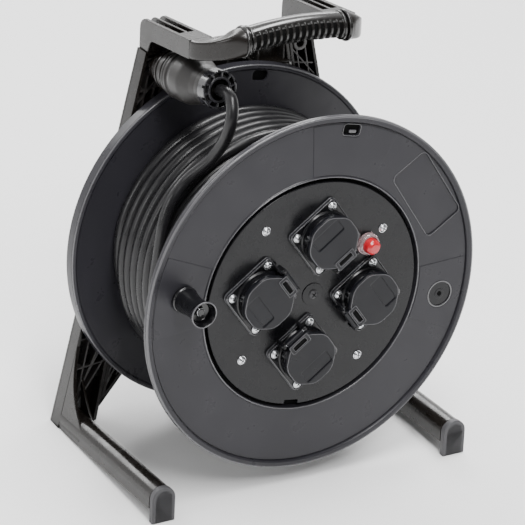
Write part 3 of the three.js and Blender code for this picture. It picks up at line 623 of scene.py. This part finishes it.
def front_flange():
    slot = rounded_box(15, 8.6, 2.2, SLOT_AT, -2.8)
    label = rounded_box(34.5, 68, 4.5, LABEL_AT, 42.3)
    dimple = circle(10.4, DIMPLE_AT, 48)
    bore = circle(5.2, SPINDLE_AT, 32)
    rim = lathe(fillet([(142.6, 4.9, 0.2), (142.6, 3.2, 0.2), (143.6, 3.2, 0.2), (144.0, 1.2, 0.5),
                        (145.0, 0.3, 0.7), (149.4, 0.0, 2.3), (149.4, 5, 0.6), (146, 5.0, 0.2)], 0.4, 5), 224)
    seat = lathe(fillet([(71.5, 6.8, 0.2), (96.9, 6.8, 0.2), (97.5, 3.0, 0.3), (97.7, 1.7, 0.5),
                         (99.1, 1.7, 0.5), (99.7, 2.6, 0.2), (101.6, 5.0, 0.3), (98, 9, 0.5),
                         (71.5, 9, 0.3)], 0.3, 4), 192)
    skin = ring_plate(143.2, 99.4, slot, label, dimple, bore, low=2.5, high=4.0, bevel=0.35)
    backing = ring_plate(143.2, 99.4, slot, circle(2.2, DIMPLE_AT, 16), bore, low=3.55, high=5, bevel=0.2)
    # A lighter frame line round the label recess paints the highlight on its edge.
    frame_line = [rounded_box(36, 69.5, 5.3, LABEL_AT, 42.3), rounded_box(34.6, 68.1, 4.6, LABEL_AT, 42.3)]
    # A black ring on the floor of the gap between the panel and the flange paints the shade there.
    gap = lathe(fillet([(90, 6.5), (97.3, 6.5), (97.6, 3.4), (97.8, 3.4), (97.8, 7), (90, 7)], 0.1, 2), 160)
    # The two lighter beads, on the outer rim and round the panel's seat, paint highlight lines.
    parts = [("drum", rim), ("drum", seat), ("line", bead(148.3, 1.05, 1.0)), ("line", bead(98.3, 2.0, 0.6)),
             ("black", gap), ("drum", skin), ("drum", backing),
             # A black plate behind the slot paints the shade seen through it.
             ("black", plate([rounded_box(15.6, 9.2, 2.2, SLOT_AT, -2.8)], 4.3, 4.9, 0.1)),
             ("edge", plate([rounded_box(16.8, 10.4, 3, SLOT_AT, -2.8),
                             rounded_box(15.2, 8.8, 2.3, SLOT_AT, -2.8)], 1.8, 3, 0.3)),
             ("edge", plate([rounded_box(7, 3, 1, polar(136.2, 86.6), -2.8)], 2.6, 4.6, 0.5)),
             ("panel", plate([circle(10.3, DIMPLE_AT, 48)], 3.0, 3.9, 0.2)),
             # A black disc in the dimple's centre hole paints the shade in it.
             ("black", plate([circle(1.9, DIMPLE_AT, 24)], 2.8, 3.4, 0.1)),
             ("line", plate(frame_line, 2.1, 3.2, 0.35)),
             ("edge", plate([circle(11.7, DIMPLE_AT, 48), circle(10.2, DIMPLE_AT, 48)], 2.05, 3.4, 0.35)),
             ("panel", plate([circle(4.4, DIMPLE_AT, 32), circle(2.1, DIMPLE_AT, 20)], 2.75, 3.4, 0.3))]
    # Three shallow raised fields: by the dimple, under the slot and round the crank.
    for start, end, hole in ((-14, 11.5, circle(11.9, DIMPLE_AT, 48)), (166, 194, bore),
                             (69, 101.6, rounded_box(17, 10.6, 3, polar(136.8, 87.2), -2.8))):
        parts.append(("drum", plate([sector(100.3, 142.3, start, end, 24), hole], 2.1, 3.0, 0.3)))
    piece("flange_front", parts, DRUM, "drum", ["front_flange"])


front_flange()


def rear_flange():
    slot = rounded_box(14, 9, 3.5, polar(135.4, 90))
    rim = lathe(fillet([(139.4, 134.9, 0.2), (139.4, 132.4, 0.2), (140.4, 131.9, 0.6), (141.9, 130.9, 1.2),
                        (145, 132.4, 1.6), (145, 141.5, 0.6), (142.5, 141.5, 0.4), (141.2, 135, 0.6)],
                       0.5, 5), 224)
    skin = ring_plate(140.4, 15.3, slot, low=131.9, high=134.9, bevel=0.35)
    parts = [("drum", rim), ("drum", skin), ("line", bead(144, 132.2, 0.9))]
    for i in range(12):
        spoke = block(30, 139, 134.6, 137.8, -1, 1, 0.35)
        parts.append(("drum", spoke, turn(15 + i * 30, "Y")))
    for r in (32, 78, 110):
        parts.append(("drum", ring(r, r + 2, 134.6, 138, segments=128)))
    # A black plate behind the slot paints the shade seen through it.
    parts.append(("black", plate([rounded_box(15, 10, 3.5, polar(135.4, 90))], 134, 134.8, 0.1)))
    piece("flange_rear", parts, DRUM, "drum", ["rear_flange"])


rear_flange()


# ---- Drum: socket panel ----
SOCKET_ANGLES = {"top": 90, "left": 180, "bottom": 270, "right": 0}


def panel():
    holes = [circle(21.7, polar(SOCKET_RING_R, a), 48) for a in SOCKET_ANGLES.values()]
    holes.append(circle(7.2, polar(BREAKER_RING_R, BREAKER_AT), 24))
    edge = []
    for k in range(161):
        angle = -90 + 3.9 + (360 - 7.8) * k / 160
        edge.append(polar(94.6, angle))
    edge += [(-6.2, -91.2), (6.2, -91.2)]
    disc = plate([edge, *holes], 2, 6.4, 0.7, steps=3)
    piece("panel_disc", [("panel", disc)], DRUM, "drum", ["socket_panel"])
    cover = fillet([(0, 0.2, 0), (4.6, 1.1, 0.4), (9.4, 1.3, 0.4), (9.4, 1.8, 0.2), (0, 1.7, 0)], 0.3)
    dome = fillet([(0, -0.9, 0), (2.4, -0.7, 0.8), (3.6, 0.2, 0.7), (3.6, 1.4, 0), (0, 1.4, 0)], 0.3)
    cap = [("panel", lathe(cover, 48)), ("cap", lathe(dome, 40)),
           # The black cross paints the shade in the cap's cross recess.
           ("black", block(-2.3, 2.3, -0.95, -0.4, -0.45, 0.45, 0.1), turn(35, "Y")),
           ("black", block(-0.45, 0.45, -0.95, -0.4, -2.3, 2.3, 0.1), turn(35, "Y"))]
    piece("hub_cover", cap, DRUM, "drum", ["hub_cap"])


panel()


def screw(radius, height, slot_turn=0.0):
    """A pan head with a cross recess, its base at y = 0 and its top towards -Y."""
    dome = lathe(fillet([(0, -height, 0), (radius * 0.55, -height, radius * 0.3),
                         (radius, -height * 0.45, height * 0.4), (radius, 0, 0.05), (0, 0, 0)], 0.1, 4), 32)
    parts = [("zinc", dome)]
    arm = radius * 0.52
    # Black bars paint the shade in the cross recess.
    for angle in (0, 90):
        bar = block(-arm, arm, -height - 0.04, -height + 0.3, -radius * 0.11, radius * 0.11, 0.02)
        parts.append(("black", placed(bar, turn(angle + slot_turn, "Y"))))
    return parts


for i, angle in enumerate((45, 135, 225, 315)):
    washer = [("zinc", lathe(fillet([(0, -0.25, 0), (3.8, -0.25), (3.8, 0.3), (0, 0.3, 0)], 0.15), 32))]
    piece(f"panel_screw_head_{i + 1}", screw(3.3, 2.1, 20 + 50 * i) + washer,
          on_drum(SCREW_RING_R, angle) @ move(0, 1.7, 0), "drum", [f"panel_screw_{i + 1}"])


# ---- Sockets and lids ----
HINGE_X, HINGE_Y, KNUCKLE_R = 24.3, -12.5, 2.6


def bar_z(r, z0, z1, segments=32, soft=0.3):
    return placed(lathe(fillet([(0, z0, 0), (r, z0), (r, z1), (0, z1, 0)], soft, 3), segments), turn(90, "X"))


def socket_parts():
    parts = [
        # The seal's lighter grey paints the highlight line along the plate's edge.
        ("seal", plate([rounded_box(49, 49, 4.4), circle(21, count=48)], -1.3, -0.1, 0.5, steps=3)),
        ("socket", plate([rounded_box(47.8, 47.8, 4.6), circle(20.4, count=48)], -3.0, -1.6, 0.2)),
        ("edge", plate([rounded_box(48.2, 48.2, 4.4), rounded_box(45.6, 45.6, 3.4)], -3.7, -2.2, 0.7, steps=3)),
    ]
    well = fillet([(0, 6.6, 0), (19.7, 6.6, 0.4), (19.8, -10.3, 0.5), (20.4, -11, 0.4), (21.5, -10.6, 0.5),
                   (21.5, -4.4, 0.3), (22.6, -3.4, 0.4), (22.6, -2.5, 0.3), (21.5, -2, 0.3), (21.5, 33.8, 0.6),
                   (0, 33.8, 0)], 0.4, 4)
    parts.append(("socket", lathe(well, 80)))
    # Earth clips, and black discs that paint the shade in the two contact holes at the well's floor.
    for side in (-1, 1):
        parts.append(("zinc", block(-3, 3, -6, 6.4, side * 19.6 - 0.6, side * 19.6 + 0.6, 0.3)))
        parts.append(("black", ring(0, 2.8, 6.4, 6.65, 0.05, 24, steps=1),
                      move(side * 9.5, 0, 0)))
    for side in (-1, 1):
        low, high = (9.3, 12) if side > 0 else (-12, -9.3)
        lug = fillet([(HINGE_X - 2.6, -3), (HINGE_X - 2.6, HINGE_Y - 1, 2.4),
                      (HINGE_X + 2.6, HINGE_Y - 2.6, 2.4), (HINGE_X + 2.6, -3)], 0.3, 5)
        parts.append(("socket", plate([lug], low, high, 0.3, plane="XY")))
    corner = 37.5 / 2
    for k, (sx, sz) in enumerate(((1, 1), (1, -1), (-1, 1), (-1, -1))):
        at = move(sx * corner, -3.7, sz * corner)
        parts += [(look, part, at) for look, part in screw(3.1, 1.9, 15 + 37 * k)]
        washer = lathe(fillet([(0, -0.3, 0), (3.6, -0.3), (3.6, 0.3), (0, 0.3, 0)], 0.15), 28)
        parts.append(("zinc", washer, at))
    return parts


def lid_outline(r, corner):
    """A rounded octagon, flat towards the hinge, where its tab goes."""
    points = []
    for k in range(8):
        angle = 22.5 + 45 * k
        points.append((*polar(r / math.cos(22.5 * RAD), angle), corner))
    return fillet(points, corner, 8)


def lid_parts():
    parts = [
        ("lid", plate([lid_outline(22, 13.5)], -15.2, -11.4, 0.7, steps=3)),
        ("lid", plate([lid_outline(21.9, 13.5), rounded_box(11.5, 27, 1.6, (-9.5, 0))],
                      -16.1, -14.9, 0.8, steps=3)),
        # A lighter ring along the lid's rim paints its highlight line.
        ("line", plate([lid_outline(21.5, 13.3), lid_outline(20.9, 13)], -16.25, -15.3, 0.25)),
        ("lid", plate([rounded_box(13.1, 28.6, 2.2, (-9.5, 0)), rounded_box(11.3, 26.8, 1.5, (-9.5, 0))],
                      -15.95, -15.2, 0.25)),
        ("lid", plate([fillet([(13, -9.6), (HINGE_X - 1.4, -8.6), (HINGE_X - 1.4, 8.6), (13, 9.6)], 1.2, 4)],
                      -15.2, -11.4, 0.6)),
        ("lid", placed(bar_z(KNUCKLE_R, -8.6, 8.6), move(HINGE_X, HINGE_Y, 0))),
    ]
    # Raised hinge frame with a window.
    parts.append(("lid", plate([rounded_box(8.4, 19, 1.4, (19.2, 0)), rounded_box(4.6, 13, 0.8, (19.4, 0))],
                               -16.6, -14.6, 0.4)))
    # Lighter frame lines round the window paint the highlights on its edges.
    for wide, tall in ((8.3, 18.9), (5.6, 14)):
        parts.append(("line", plate([rounded_box(wide, tall, 1.2, (19.3, 0)),
                                     rounded_box(wide - 1, tall - 1, 0.8, (19.3, 0))], -16.75, -16, 0.2)))
    # A black plate in the window paints the shade behind it.
    parts.append(("black", plate([rounded_box(4.5, 12.8, 0.7, (19.4, 0))], -16.2, -15.6, 0.1)))
    # A lighter seal ring paints a highlight line under the lid's rim.
    parts.append(("seal", ring(18.2, 19.4, -11.5, -11.1, 0.15)))
    return parts


for where, degrees in SOCKET_ANGLES.items():
    spot = on_drum(SOCKET_RING_R, degrees, degrees - 135) @ move(0, 2, 0)
    piece(f"{where}_outlet", socket_parts(), spot, "drum", [f"{where}_socket"])
    piece(f"{where}_cover", lid_parts(), spot, f"{where}_lid", [f"{where}_lid"])
    pin = placed(bar_z(1.3, -12, 12, 20, 0.2), move(HINGE_X, HINGE_Y, 0))
    piece(f"{where}_hinge_pin", [("zinc", pin)], spot, "drum", [f"{where}_lid_pin"])

# ---- Reset button ----
spot = on_drum(BREAKER_RING_R, BREAKER_AT, BREAKER_AT)
piece("button_collar", [
    ("clear", lathe(fillet([(6.8, 1.6), (9.2, 1.6), (9.2, -2), (8.4, -3.4), (6.8, -3.4)], 0.5, 4), 56)),
    ("clear", lathe(fillet([(7.0, -3.2), (8.0, -3.2), (7.8, -4.2), (7.0, -4.2)], 0.3, 3), 56)),
], spot, "drum", ["breaker_collar"])
piece("button_dome", [
    ("red", lathe(fillet([(0, -11, 0), (3.8, -10.9, 2.8), (6.2, -8.6, 2.2), (6.5, -5, 1), (6.5, -0.2, 0.3),
                          (0, -0.2, 0)], 0.5, 6), 56)),
], spot, "reset_button", ["reset_button"])

# ---- Crank knob ----
spot = on_drum(KNOB_RING_R, 180)
knob = fillet([(3.8, 1.6, 0.2), (11, 1.6, 0.6), (11.1, -1.2, 0.8), (10.2, -2.1, 0.4), (9.9, -6, 2),
               (8.8, -14, 6), (8.7, -20, 5), (9.4, -26, 4), (10.9, -29.6, 1), (11, -30.9, 0.5),
               (9.9, -30.9, 0.5), (8.6, -28, 0.5), (8, -23, 1), (3.8, -22, 0.2)], 0.4, 6)
# The lighter ring on the knob's rim paints its highlight line.
piece("knob_shell", [("knob", lathe(knob, 80)), ("line", ring(9.8, 11, -30.96, -29.7, 0.5, 80))], spot,
      "crank_knob", ["crank_knob"], angle=40)
core = fillet([(0, -25.2, 0), (3.4, -24.9, 0.4), (3.4, 1.9, 0.1), (3.9, 1.9, 0.1), (3.9, 7, 0.1),
               (0, 7, 0)], 0.2)
head = fillet([(0, -25.5, 0), (2.6, -25.4, 0.5), (3.5, -24.4, 0.4), (3.5, -21, 0.1), (0, -21, 0)], 0.2)
piece("knob_core", [("zinc", lathe(core, 32)), ("knob", lathe(head, 32))], spot, "drum", ["knob_spindle"])

# ---- Stand ----
STAND_HALF, LEG_SPLAY, LEG_TOP, HEEL_Z, HEEL_W, HEAD_W = 149.4, 0.223, 328, 12, 36, 23
LEG_FRONT, LEG_BACK, HUB_R = 145.7, 160, 52


def outer_x(z):
    return -STAND_HALF + LEG_SPLAY * z


def inner_x(z):
    return outer_x(z) + HEEL_W + (HEAD_W - HEEL_W) * z / LEG_TOP


def rib(a, b, width=1.5, front=LEG_FRONT + 1.6, back=LEG_BACK - 2.5):
    a, b = Vector(a), Vector(b)
    along = (b - a).normalized()
    side = Vector((-along.y, along.x)) * (width / 2)
    return plate([[tuple(a - side), tuple(b - side), tuple(b + side), tuple(a + side)]], front, back, 0.35)


def channel(outline, ribs, wall=3.0):
    """A shallow tray with a back, a wall along every side of its outline, and ribs."""
    corners = [Vector(p) for p in tidy_outline(outline)]
    parts = [("frame", plate([[tuple(p) for p in corners]], LEG_BACK - 3, LEG_BACK, 0.5))]
    for i, a in enumerate(corners):
        before, b, after = corners[i - 1], corners[(i + 1) % len(corners)], corners[(i + 2) % len(corners)]
        along = (b - a).normalized()
        inward = Vector((-along.y, along.x)) * wall
        near, far = (min((b - a).length * 0.45, max(0, wall / math.tan(max(0.2, angle))))
                     for angle in ((b - a).angle(before - a), (a - b).angle(after - b)))
        side = [tuple(a), tuple(b), tuple(b + inward - along * far), tuple(a + inward + along * near)]
        parts.append(("frame", plate([side], LEG_FRONT, LEG_BACK - 2.8, 0.4)))
    return parts + [("rib", rib(a, b)) for a, b in ribs]


def sided(parts, side):
    """The left side's parts, or their mirror image for the right side."""
    if side < 0:
        return parts
    out = []
    for look, (points, faces), *extra in parts:
        if extra:
            points = [tuple(extra[0] @ Vector(p)) for p in points]
        out.append((look, ([(-x, y, z) for x, y, z in points], [tuple(reversed(f)) for f in faces])))
    return out


def leg_parts():
    low = HEEL_Z - 1
    outline = [(outer_x(low), low), (inner_x(low), low),
               (inner_x(LEG_TOP), LEG_TOP), (outer_x(LEG_TOP), LEG_TOP)]

    def across(z, t):
        return (outer_x(z) + (inner_x(z) - outer_x(z)) * t, z)

    ribs = [(across(34, 0.36), across(LEG_TOP - 10, 0.36)), (across(96, 0.7), across(LEG_TOP - 10, 0.7))]
    for z in range(60, 321, 26):
        ribs.append((across(z, 0.02), across(z + 4, 0.98)))
    for z, top in ((34, 96), (28, 112), (24, 70)):
        ribs.append((across(z, 0.3), across(top, 0.97)))
    for z in (230, 282):
        ribs.append((across(z, 0.1), across(z + 30, 0.95)))
    parts = channel(outline, ribs)
    boss = [circle(6.4, across(314, 0.55), 40), circle(3.3, across(314, 0.55), 32)]
    parts.append(("rib", plate(boss, LEG_FRONT + 0.4, LEG_BACK - 2, 0.5)))
    return parts


def hub_point(degrees):
    x, z = polar(HUB_R + 0.6, degrees)
    return (x, AXLE_Z + z)


def brace_parts(start, end, low, high):
    def on_leg(z):
        return (inner_x(z) + 0.3, z)

    def mid(p, q, t):
        return (p[0] + (q[0] - p[0]) * t, p[1] + (q[1] - p[1]) * t)

    arc = [hub_point(start + (end - start) * t / 8) for t in range(9)]
    outline = [on_leg(low), *arc, on_leg(high)]
    a, c = arc[0], arc[-1]
    ribs = [(mid(on_leg(low), on_leg(high), t), mid(a, c, t)) for t in (0.25, 0.5, 0.75)]
    ribs += [(mid(on_leg(low), a, t), mid(on_leg(high), c, t)) for t in (0.2, 0.42, 0.64, 0.86)]
    ribs += [(mid(on_leg(low), on_leg(high), 0.1), mid(a, c, 0.9)),
             (on_leg(low + 4), mid(on_leg(high), c, 0.4))]
    return channel(outline, ribs)


for side, word in ((-1, "left"), (1, "right")):
    piece(f"{word}_leg_channel", sided(leg_parts(), side), LEANED, "frame", [f"{word}_leg"],
          on_floor=True)
    piece(f"{word}_lower_truss", sided(brace_parts(236, 200, 24, 88), side), LEANED, "frame",
          [f"{word}_lower_brace"])
    piece(f"{word}_upper_truss", sided(brace_parts(160, 124, 236, 296), side), LEANED, "frame",
          [f"{word}_upper_brace"])


def hub_carrier():
    dish = lathe(fillet([(8.8, LEG_FRONT), (20, LEG_FRONT), (22, LEG_BACK - 4, 1), (HUB_R - 3, LEG_BACK - 4, 1),
                         (HUB_R - 3, LEG_FRONT), (HUB_R, LEG_FRONT), (HUB_R, LEG_BACK, 1), (8.8, LEG_BACK)],
                        0.5), 120)
    parts = [("frame", dish)]
    for i in range(8):
        parts.append(("rib", block(19, HUB_R - 1, LEG_FRONT + 2, LEG_BACK - 1, -0.9, 0.9, 0.35),
                      turn(22.5 + i * 45, "Y")))
    parts.append(("rib", ring(33, 34.8, LEG_FRONT + 2, LEG_BACK - 2, segments=96)))
    piece("hub_plate", parts, AXLE, "frame", ["hub_carrier"])


hub_carrier()


def top_beam():
    low, high = 299, LEG_TOP - 2
    left, left_top = inner_x(low) + 0.3, inner_x(high) + 0.3
    outline = [(left, low), (-left, low), (-left_top, high), (left_top, high)]
    ribs = [((x, low + 1), (x, high - 1)) for x in (-52, -28, 0, 28, 52)]
    ribs += [((-28, low + 1), (0, high - 1)), ((28, low + 1), (0, high - 1))]
    parts = channel(outline, ribs)
    sill = block(left + 2, -left - 2, LEG_FRONT - 1.2, LEG_FRONT + 2, low - 0.2, low + 2.6, 0.5)
    parts.append(("frame", sill))
    piece("beam_channel", parts, LEANED, "frame", ["top_beam"])


top_beam()

# ---- Feet and caps ----
FOOT_HALF, FOOT_W, FOOT_TOP, FOOT_FRONT = 145.5, 20.5, 29.1, -6.6
FOOT_X = -FOOT_HALF + FOOT_W / 2


def arch(width, bottom, top, at_x=0.0, shrink=0.0):
    r = width / 2 - shrink
    centre = top - width / 2
    return ([(at_x - r, bottom), (at_x + r, bottom)]
            + [(at_x + r * math.cos(k * math.pi / 28), centre + r * math.sin(k * math.pi / 28))
               for k in range(29)])


def foot_parts():
    bar = plate([arch(FOOT_W, 11, FOOT_TOP, FOOT_X)], FOOT_FRONT, LEG_FRONT - 0.3, 0.3)
    lip = plate([arch(FOOT_W + 0.1, 11, FOOT_TOP, FOOT_X)], FOOT_FRONT, FOOT_FRONT + 2, 0.3)
    rear = LEG_FRONT - 0.3
    sweep = [(rear, 15), (rear, 82)]
    for k in range(1, 13):
        t = k / 12
        y = (1 - t) ** 2 * rear + 2 * t * (1 - t) * (rear - 5) + t * t * (rear - 34)
        z = (1 - t) ** 2 * 82 + 2 * t * (1 - t) * 40 + t * t * (FOOT_TOP - 5)
        sweep.append((y, z))
    sweep.append((rear - 34, 15))
    wall = plate([sweep], -STAND_HALF, -STAND_HALF + 3, 0.5, plane="YZ")
    shear = Matrix.Identity(4)
    shear[0][2] = LEG_SPLAY
    inner = [(y, z) for y, z in sweep if z < 66]
    inner_wall = plate([[(rear, 15), (rear, 52), *[(y + 4, z - 7) for y, z in inner[2:-1]], (rear - 27, 15)]],
                       -126.6, -124.4, 0.5, plane="YZ")
    return [("frame", bar), ("frame", lip), ("frame", placed(wall, shear)), ("frame", inner_wall)]


def cap_parts():
    low, high = FOOT_FRONT - 0.3 - 5.5, FOOT_FRONT - 0.3
    return [("cap", plate([arch(FOOT_W, -2, 29.8, FOOT_X)], low, high, 0.9, steps=4)),
            ("cap", plate([arch(FOOT_W, -2, 29.8, FOOT_X, 2.6)], low, low + 1, 0.3)),
            ("cap", block(FOOT_X - 6, FOOT_X + 6, high - 1, high + 0.2, 6, 20, 0.4))]


for side, word in ((-1, "left"), (1, "right")):
    piece(f"{word}_foot_bar", sided(foot_parts(), side), LEANED, "frame", [f"{word}_foot"],
          on_floor=True)
    piece(f"{word}_toe_cap", sided(cap_parts(), side), LEANED, "frame", [f"{word}_foot_cap"],
          on_floor=True)

# ---- Arms ----
ARM_OUT, ARM_W, ARM_FRONT, ARM_SLOPE, BAR_BOTTOM, BAR_TOP = 75.1, 20, 80, -0.11, 346, 362
SEAM_FRONT, SEAM_BACK = 99, 101  # the fins and the arm's nose overlap here


def arm_z(y):
    return ARM_SLOPE * (y - ARM_FRONT)


def arm_side(top_drop=0.0, front=ARM_FRONT):
    base = LEG_TOP + 0.3
    back = LEG_BACK - 0.6
    outline = [(LEG_FRONT, base, 0.5), (back, base, 0.5), (back, BAR_TOP + arm_z(back) - top_drop, 9),
               (front, BAR_TOP + arm_z(front) - top_drop, 0.4), (front, BAR_BOTTOM + arm_z(front), 0.4),
               (LEG_FRONT - 5, BAR_BOTTOM + arm_z(LEG_FRONT - 5), 6)]
    return fillet(outline, 0.5, 8)


def arm_parts():
    parts = []
    for x0, x1 in ((0, 3.4), (9.0, 11.0), (16.6, 20)):
        fin = plate([arm_side(0, SEAM_FRONT)], -ARM_OUT + x0, -ARM_OUT + x1, 0.7, plane="YZ", steps=3)
        parts.append(("frame", fin))
    web = plate([arm_side(14.0, SEAM_FRONT)], -ARM_OUT + 0.8, -ARM_OUT + ARM_W - 0.8, 0.3, plane="YZ")
    parts.append(("frame", web))
    front = [(SEAM_BACK, BAR_BOTTOM + arm_z(SEAM_BACK)), (SEAM_BACK, BAR_TOP + arm_z(SEAM_BACK)),
             (ARM_FRONT, BAR_TOP), (ARM_FRONT, BAR_BOTTOM)]
    nose = plate([front], -ARM_OUT - 0.02, -ARM_OUT + ARM_W + 0.02, 0.5, plane="YZ", steps=3)
    parts.append(("frame", nose))
    for k in range(3):
        y = 114 + k * 14
        parts.append(("rib", block(-ARM_OUT + 1.6, -ARM_OUT + ARM_W - 1.6, y, y + 1.4,
                                   BAR_BOTTOM + arm_z(y) + 1, BAR_TOP + arm_z(y) - 8, 0.3)))
    return parts


for side, word in ((-1, "left"), (1, "right")):
    piece(f"{word}_arm_fins", sided(arm_parts(), side), LEANED, "frame", [f"{word}_arm"])

# ---- Handle ----
BAR_FRONT, BAR_BACK, BAR_RISE, GRIP_HALF, GRIP_Y, GRIP_Z, GRIP_ARCH = 40, 59, 12.5, 47, 49.5, 366.4, 3.8


def squircle(centre, across, half_wide, half_high, power, count=48):
    """A ring of points from a circle (power 2) to a rounded box (high power)."""
    out = []
    for k in range(count):
        angle = 2 * math.pi * k / count
        c, s = math.cos(angle), math.sin(angle)
        u = math.copysign(abs(c) ** (2 / power), c) * half_wide
        v = math.copysign(abs(s) ** (2 / power), s) * half_high
        out.append((centre[0] + across[0] * u, centre[1] + across[1] * u, centre[2] + v))
    return out


def bar_end():
    start, near = ARM_FRONT - 0.3, -GRIP_HALF - 0.3
    sections = []
    for k in range(29):
        t = k / 28
        angle = math.pi + t * math.pi / 2
        # The outside of the bend is flatter than an ellipse, with a tight turn where it leaves the arm.
        outer = Vector((near - (ARM_OUT + near) * abs(math.cos(angle)) ** 1.3,
                        start - (start - BAR_FRONT) * abs(math.sin(angle)) ** 1.3))
        a = Vector((-ARM_OUT + ARM_W, start))
        b = Vector((-ARM_OUT + ARM_W - 0.5, BAR_BACK))
        c = Vector((near, BAR_BACK - 1))
        inner = a * (1 - t) ** 2 + b * 2 * t * (1 - t) + c * t * t
        middle = (outer + inner) / 2
        across = (inner - outer).normalized()
        rise = BAR_RISE * smoothstep(t, 0, 1)
        wide = (inner - outer).length / 2 + 1.2 * smoothstep(t, 0.75, 1)
        high = 8 + 3.2 * smoothstep(t, 0.3, 1)
        power = 8 - 5.4 * smoothstep(t, 0.45, 0.95)
        centre = (middle.x, middle.y, (BAR_BOTTOM + BAR_TOP) / 2 + rise)
        sections.append(squircle(centre, across, wide, high, power))
    return loft(sections)


def arched(part):
    out = []
    for x, y, z in part[0]:
        off = min(1, abs(x) / GRIP_HALF)
        out.append((x, y + GRIP_Y, z + GRIP_Z + GRIP_ARCH * (1 - off * off)))
    return (out, part[1])


def handle():
    end = bar_end()
    parts = [("frame", end)] + sided([("frame", end)], 1)
    core = fillet([(0, -51, 0), (8, -51)] + [(8, -51 + k * 6) for k in range(1, 17)] + [(8, 51), (0, 51, 0)], 0)
    parts.append(("frame", arched(lathe(core, 40, "X"))))
    piece("handle_ends", parts, LEANED, "frame", ["handle_bar"], angle=40)


handle()


def grip():
    # Fifteen ribs on the front and underside, joined by a smooth strip along the top.
    half, rib_count = GRIP_HALF - 4, 15
    steps, count = rib_count * 14, 56
    pitch = 2 * half / rib_count
    sections = []
    for i in range(steps + 1):
        x = -half + 2 * half * i / steps
        phase = ((x + half) / pitch) % 1
        bump = smoothstep(0.5 - abs(phase - 0.5), 0.21, 0.33)
        section = []
        for k in range(count):
            angle = 2 * math.pi * k / count  # 0 is to the rear, 90 up, 180 to the front
            up = math.sin(angle)
            strip = smoothstep(up, 0.42, 0.72)
            rear = smoothstep(math.cos(angle), 0.35, 0.7)
            under = smoothstep(-up, 0.6, 0.95)
            scallop = 0.9 * under * (0.5 + 0.5 * math.cos(2 * math.pi * x / 21.5))
            raised = max(strip, rear, bump * (1 - 0.25 * under))
            r = 8.3 + 2.5 * raised + scallop * 0.6
            section.append((x, r * math.cos(angle), r * math.sin(angle)))
        sections.append(section)
    core = fillet([(0, -half, 0), (9.3, -half)] + [(9.3, -half + k * 2 * half / 16) for k in range(1, 16)]
                  + [(9.3, half), (0, half, 0)], 0)
    # The black core between the ribs paints the shade in the grooves.
    parts = [("grip", arched(loft(sections))), ("black", arched(lathe(core, 48, "X")))]
    for side in (-1, 1):
        a, b = side * GRIP_HALF, side * (GRIP_HALF - 3)
        low, high = min(a, b), max(a, b)
        parts.append(("grip", arched(ring(9, 12.9, low, high, 1.1, steps=5, axis="X"))))
        c = side * (GRIP_HALF - 5.6)
        parts.append(("grip", arched(ring(9, 11.7, c - 1.1, c + 1.1, 0.8, axis="X"))))
    piece("grip_sleeve", parts, LEANED, "frame", ["handle_grip"], angle=50)


grip()

# ---- Axle and its bearings ----
for name, node, look, body, slot, shape in (
    ("axle_tube", "axle", "zinc", "frame", "zinc_steel", ring(6, 8.5, 12, 158)),
    ("hub_sleeve", "hub_tube", "drum", "drum", "drum_plastic", ring(11.8, 15, 24, 138.5)),
    ("rear_bearing", "rear_bush", "bush", "drum", "bearing_plastic", ring(8.8, 11.5, 121, 138, 0.3)),
):
    piece(name, [(look, shape)], AXLE, body, [node])

for names, look in ((("drum_barrel", "hub_web"), "drum"), (("front_bush", "terminal_block"), "bush"),
                    (("axle_washer", "axle_nut"), "zinc"), (("breaker_body",), "socket"),
                    (("cord_clamp",), "frame")):
    for name in names:
        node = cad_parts[name]
        node.data.materials.clear()
        node.data.materials.append(M[look])


# ---- Floor, light ----
def floor_and_light():
    mesh = bpy.data.meshes.new("floor")
    corners = [(-6, -6, -0.0005), (6, -6, -0.0005), (6, 6, -0.0005), (-6, 6, -0.0005)]
    mesh.from_pydata(corners, [], [(0, 1, 2, 3)])
    floor = linked("floor", mesh)
    pale = bpy.data.materials.new("floor_pale")
    pale.use_nodes = True
    put(pale.node_tree.nodes["Principled BSDF"],
        {"Base Color": (0.95, 0.95, 0.95, 1), "Roughness": 0.8, "Specular IOR Level": 0.1})
    mesh.materials.append(pale)

    # A white studio, bright behind the reel and dim in front of it.
    world = bpy.data.worlds.new("studio")
    world.use_nodes = True
    nodes, links = world.node_tree.nodes, world.node_tree.links
    split = nodes.new("ShaderNodeSeparateXYZ")
    fade = nodes.new("ShaderNodeMapRange")
    fade.interpolation_type = "SMOOTHSTEP"
    put(fade, {"From Min": -0.35, "From Max": 0.55, "To Min": 0.16, "To Max": 1.5})
    links.new(nodes.new("ShaderNodeTexCoord").outputs["Generated"], split.inputs["Vector"])
    links.new(split.outputs["Y"], fade.inputs["Value"])
    links.new(fade.outputs["Result"], nodes["Background"].inputs["Strength"])
    nodes["Background"].inputs["Color"].default_value = (1, 1, 1, 1)
    bpy.context.scene.world = world

    def area(name, at, look_at, size, power, color=(1, 1, 1), tall=None):
        data = bpy.data.lights.new(name, "AREA")
        data.shape = "RECTANGLE"
        data.size, data.size_y = size, tall or size
        data.energy = power
        data.color = color
        lamp = linked(name, data)
        lamp.location = at
        lamp.rotation_mode = "QUATERNION"
        lamp.rotation_quaternion = (Vector(look_at) - Vector(at)).to_track_quat("-Z", "Y")

    area("key", (-0.3, -1.5, 2.0), (0, 0.1, 0.25), 0.7, 27)
    area("top_strip", (0.25, -0.15, 2.0), (0.1, 0, 0.2), 2.2, 62, tall=0.35)
    area("back_strip", (0.1, 1.6, 1.15), (0, 0, 0.25), 2.4, 30, tall=0.3)
    area("left_card", (-1.8, -0.3, 0.8), (0, 0, 0.2), 0.3, 8, tall=1.0)


floor_and_light()
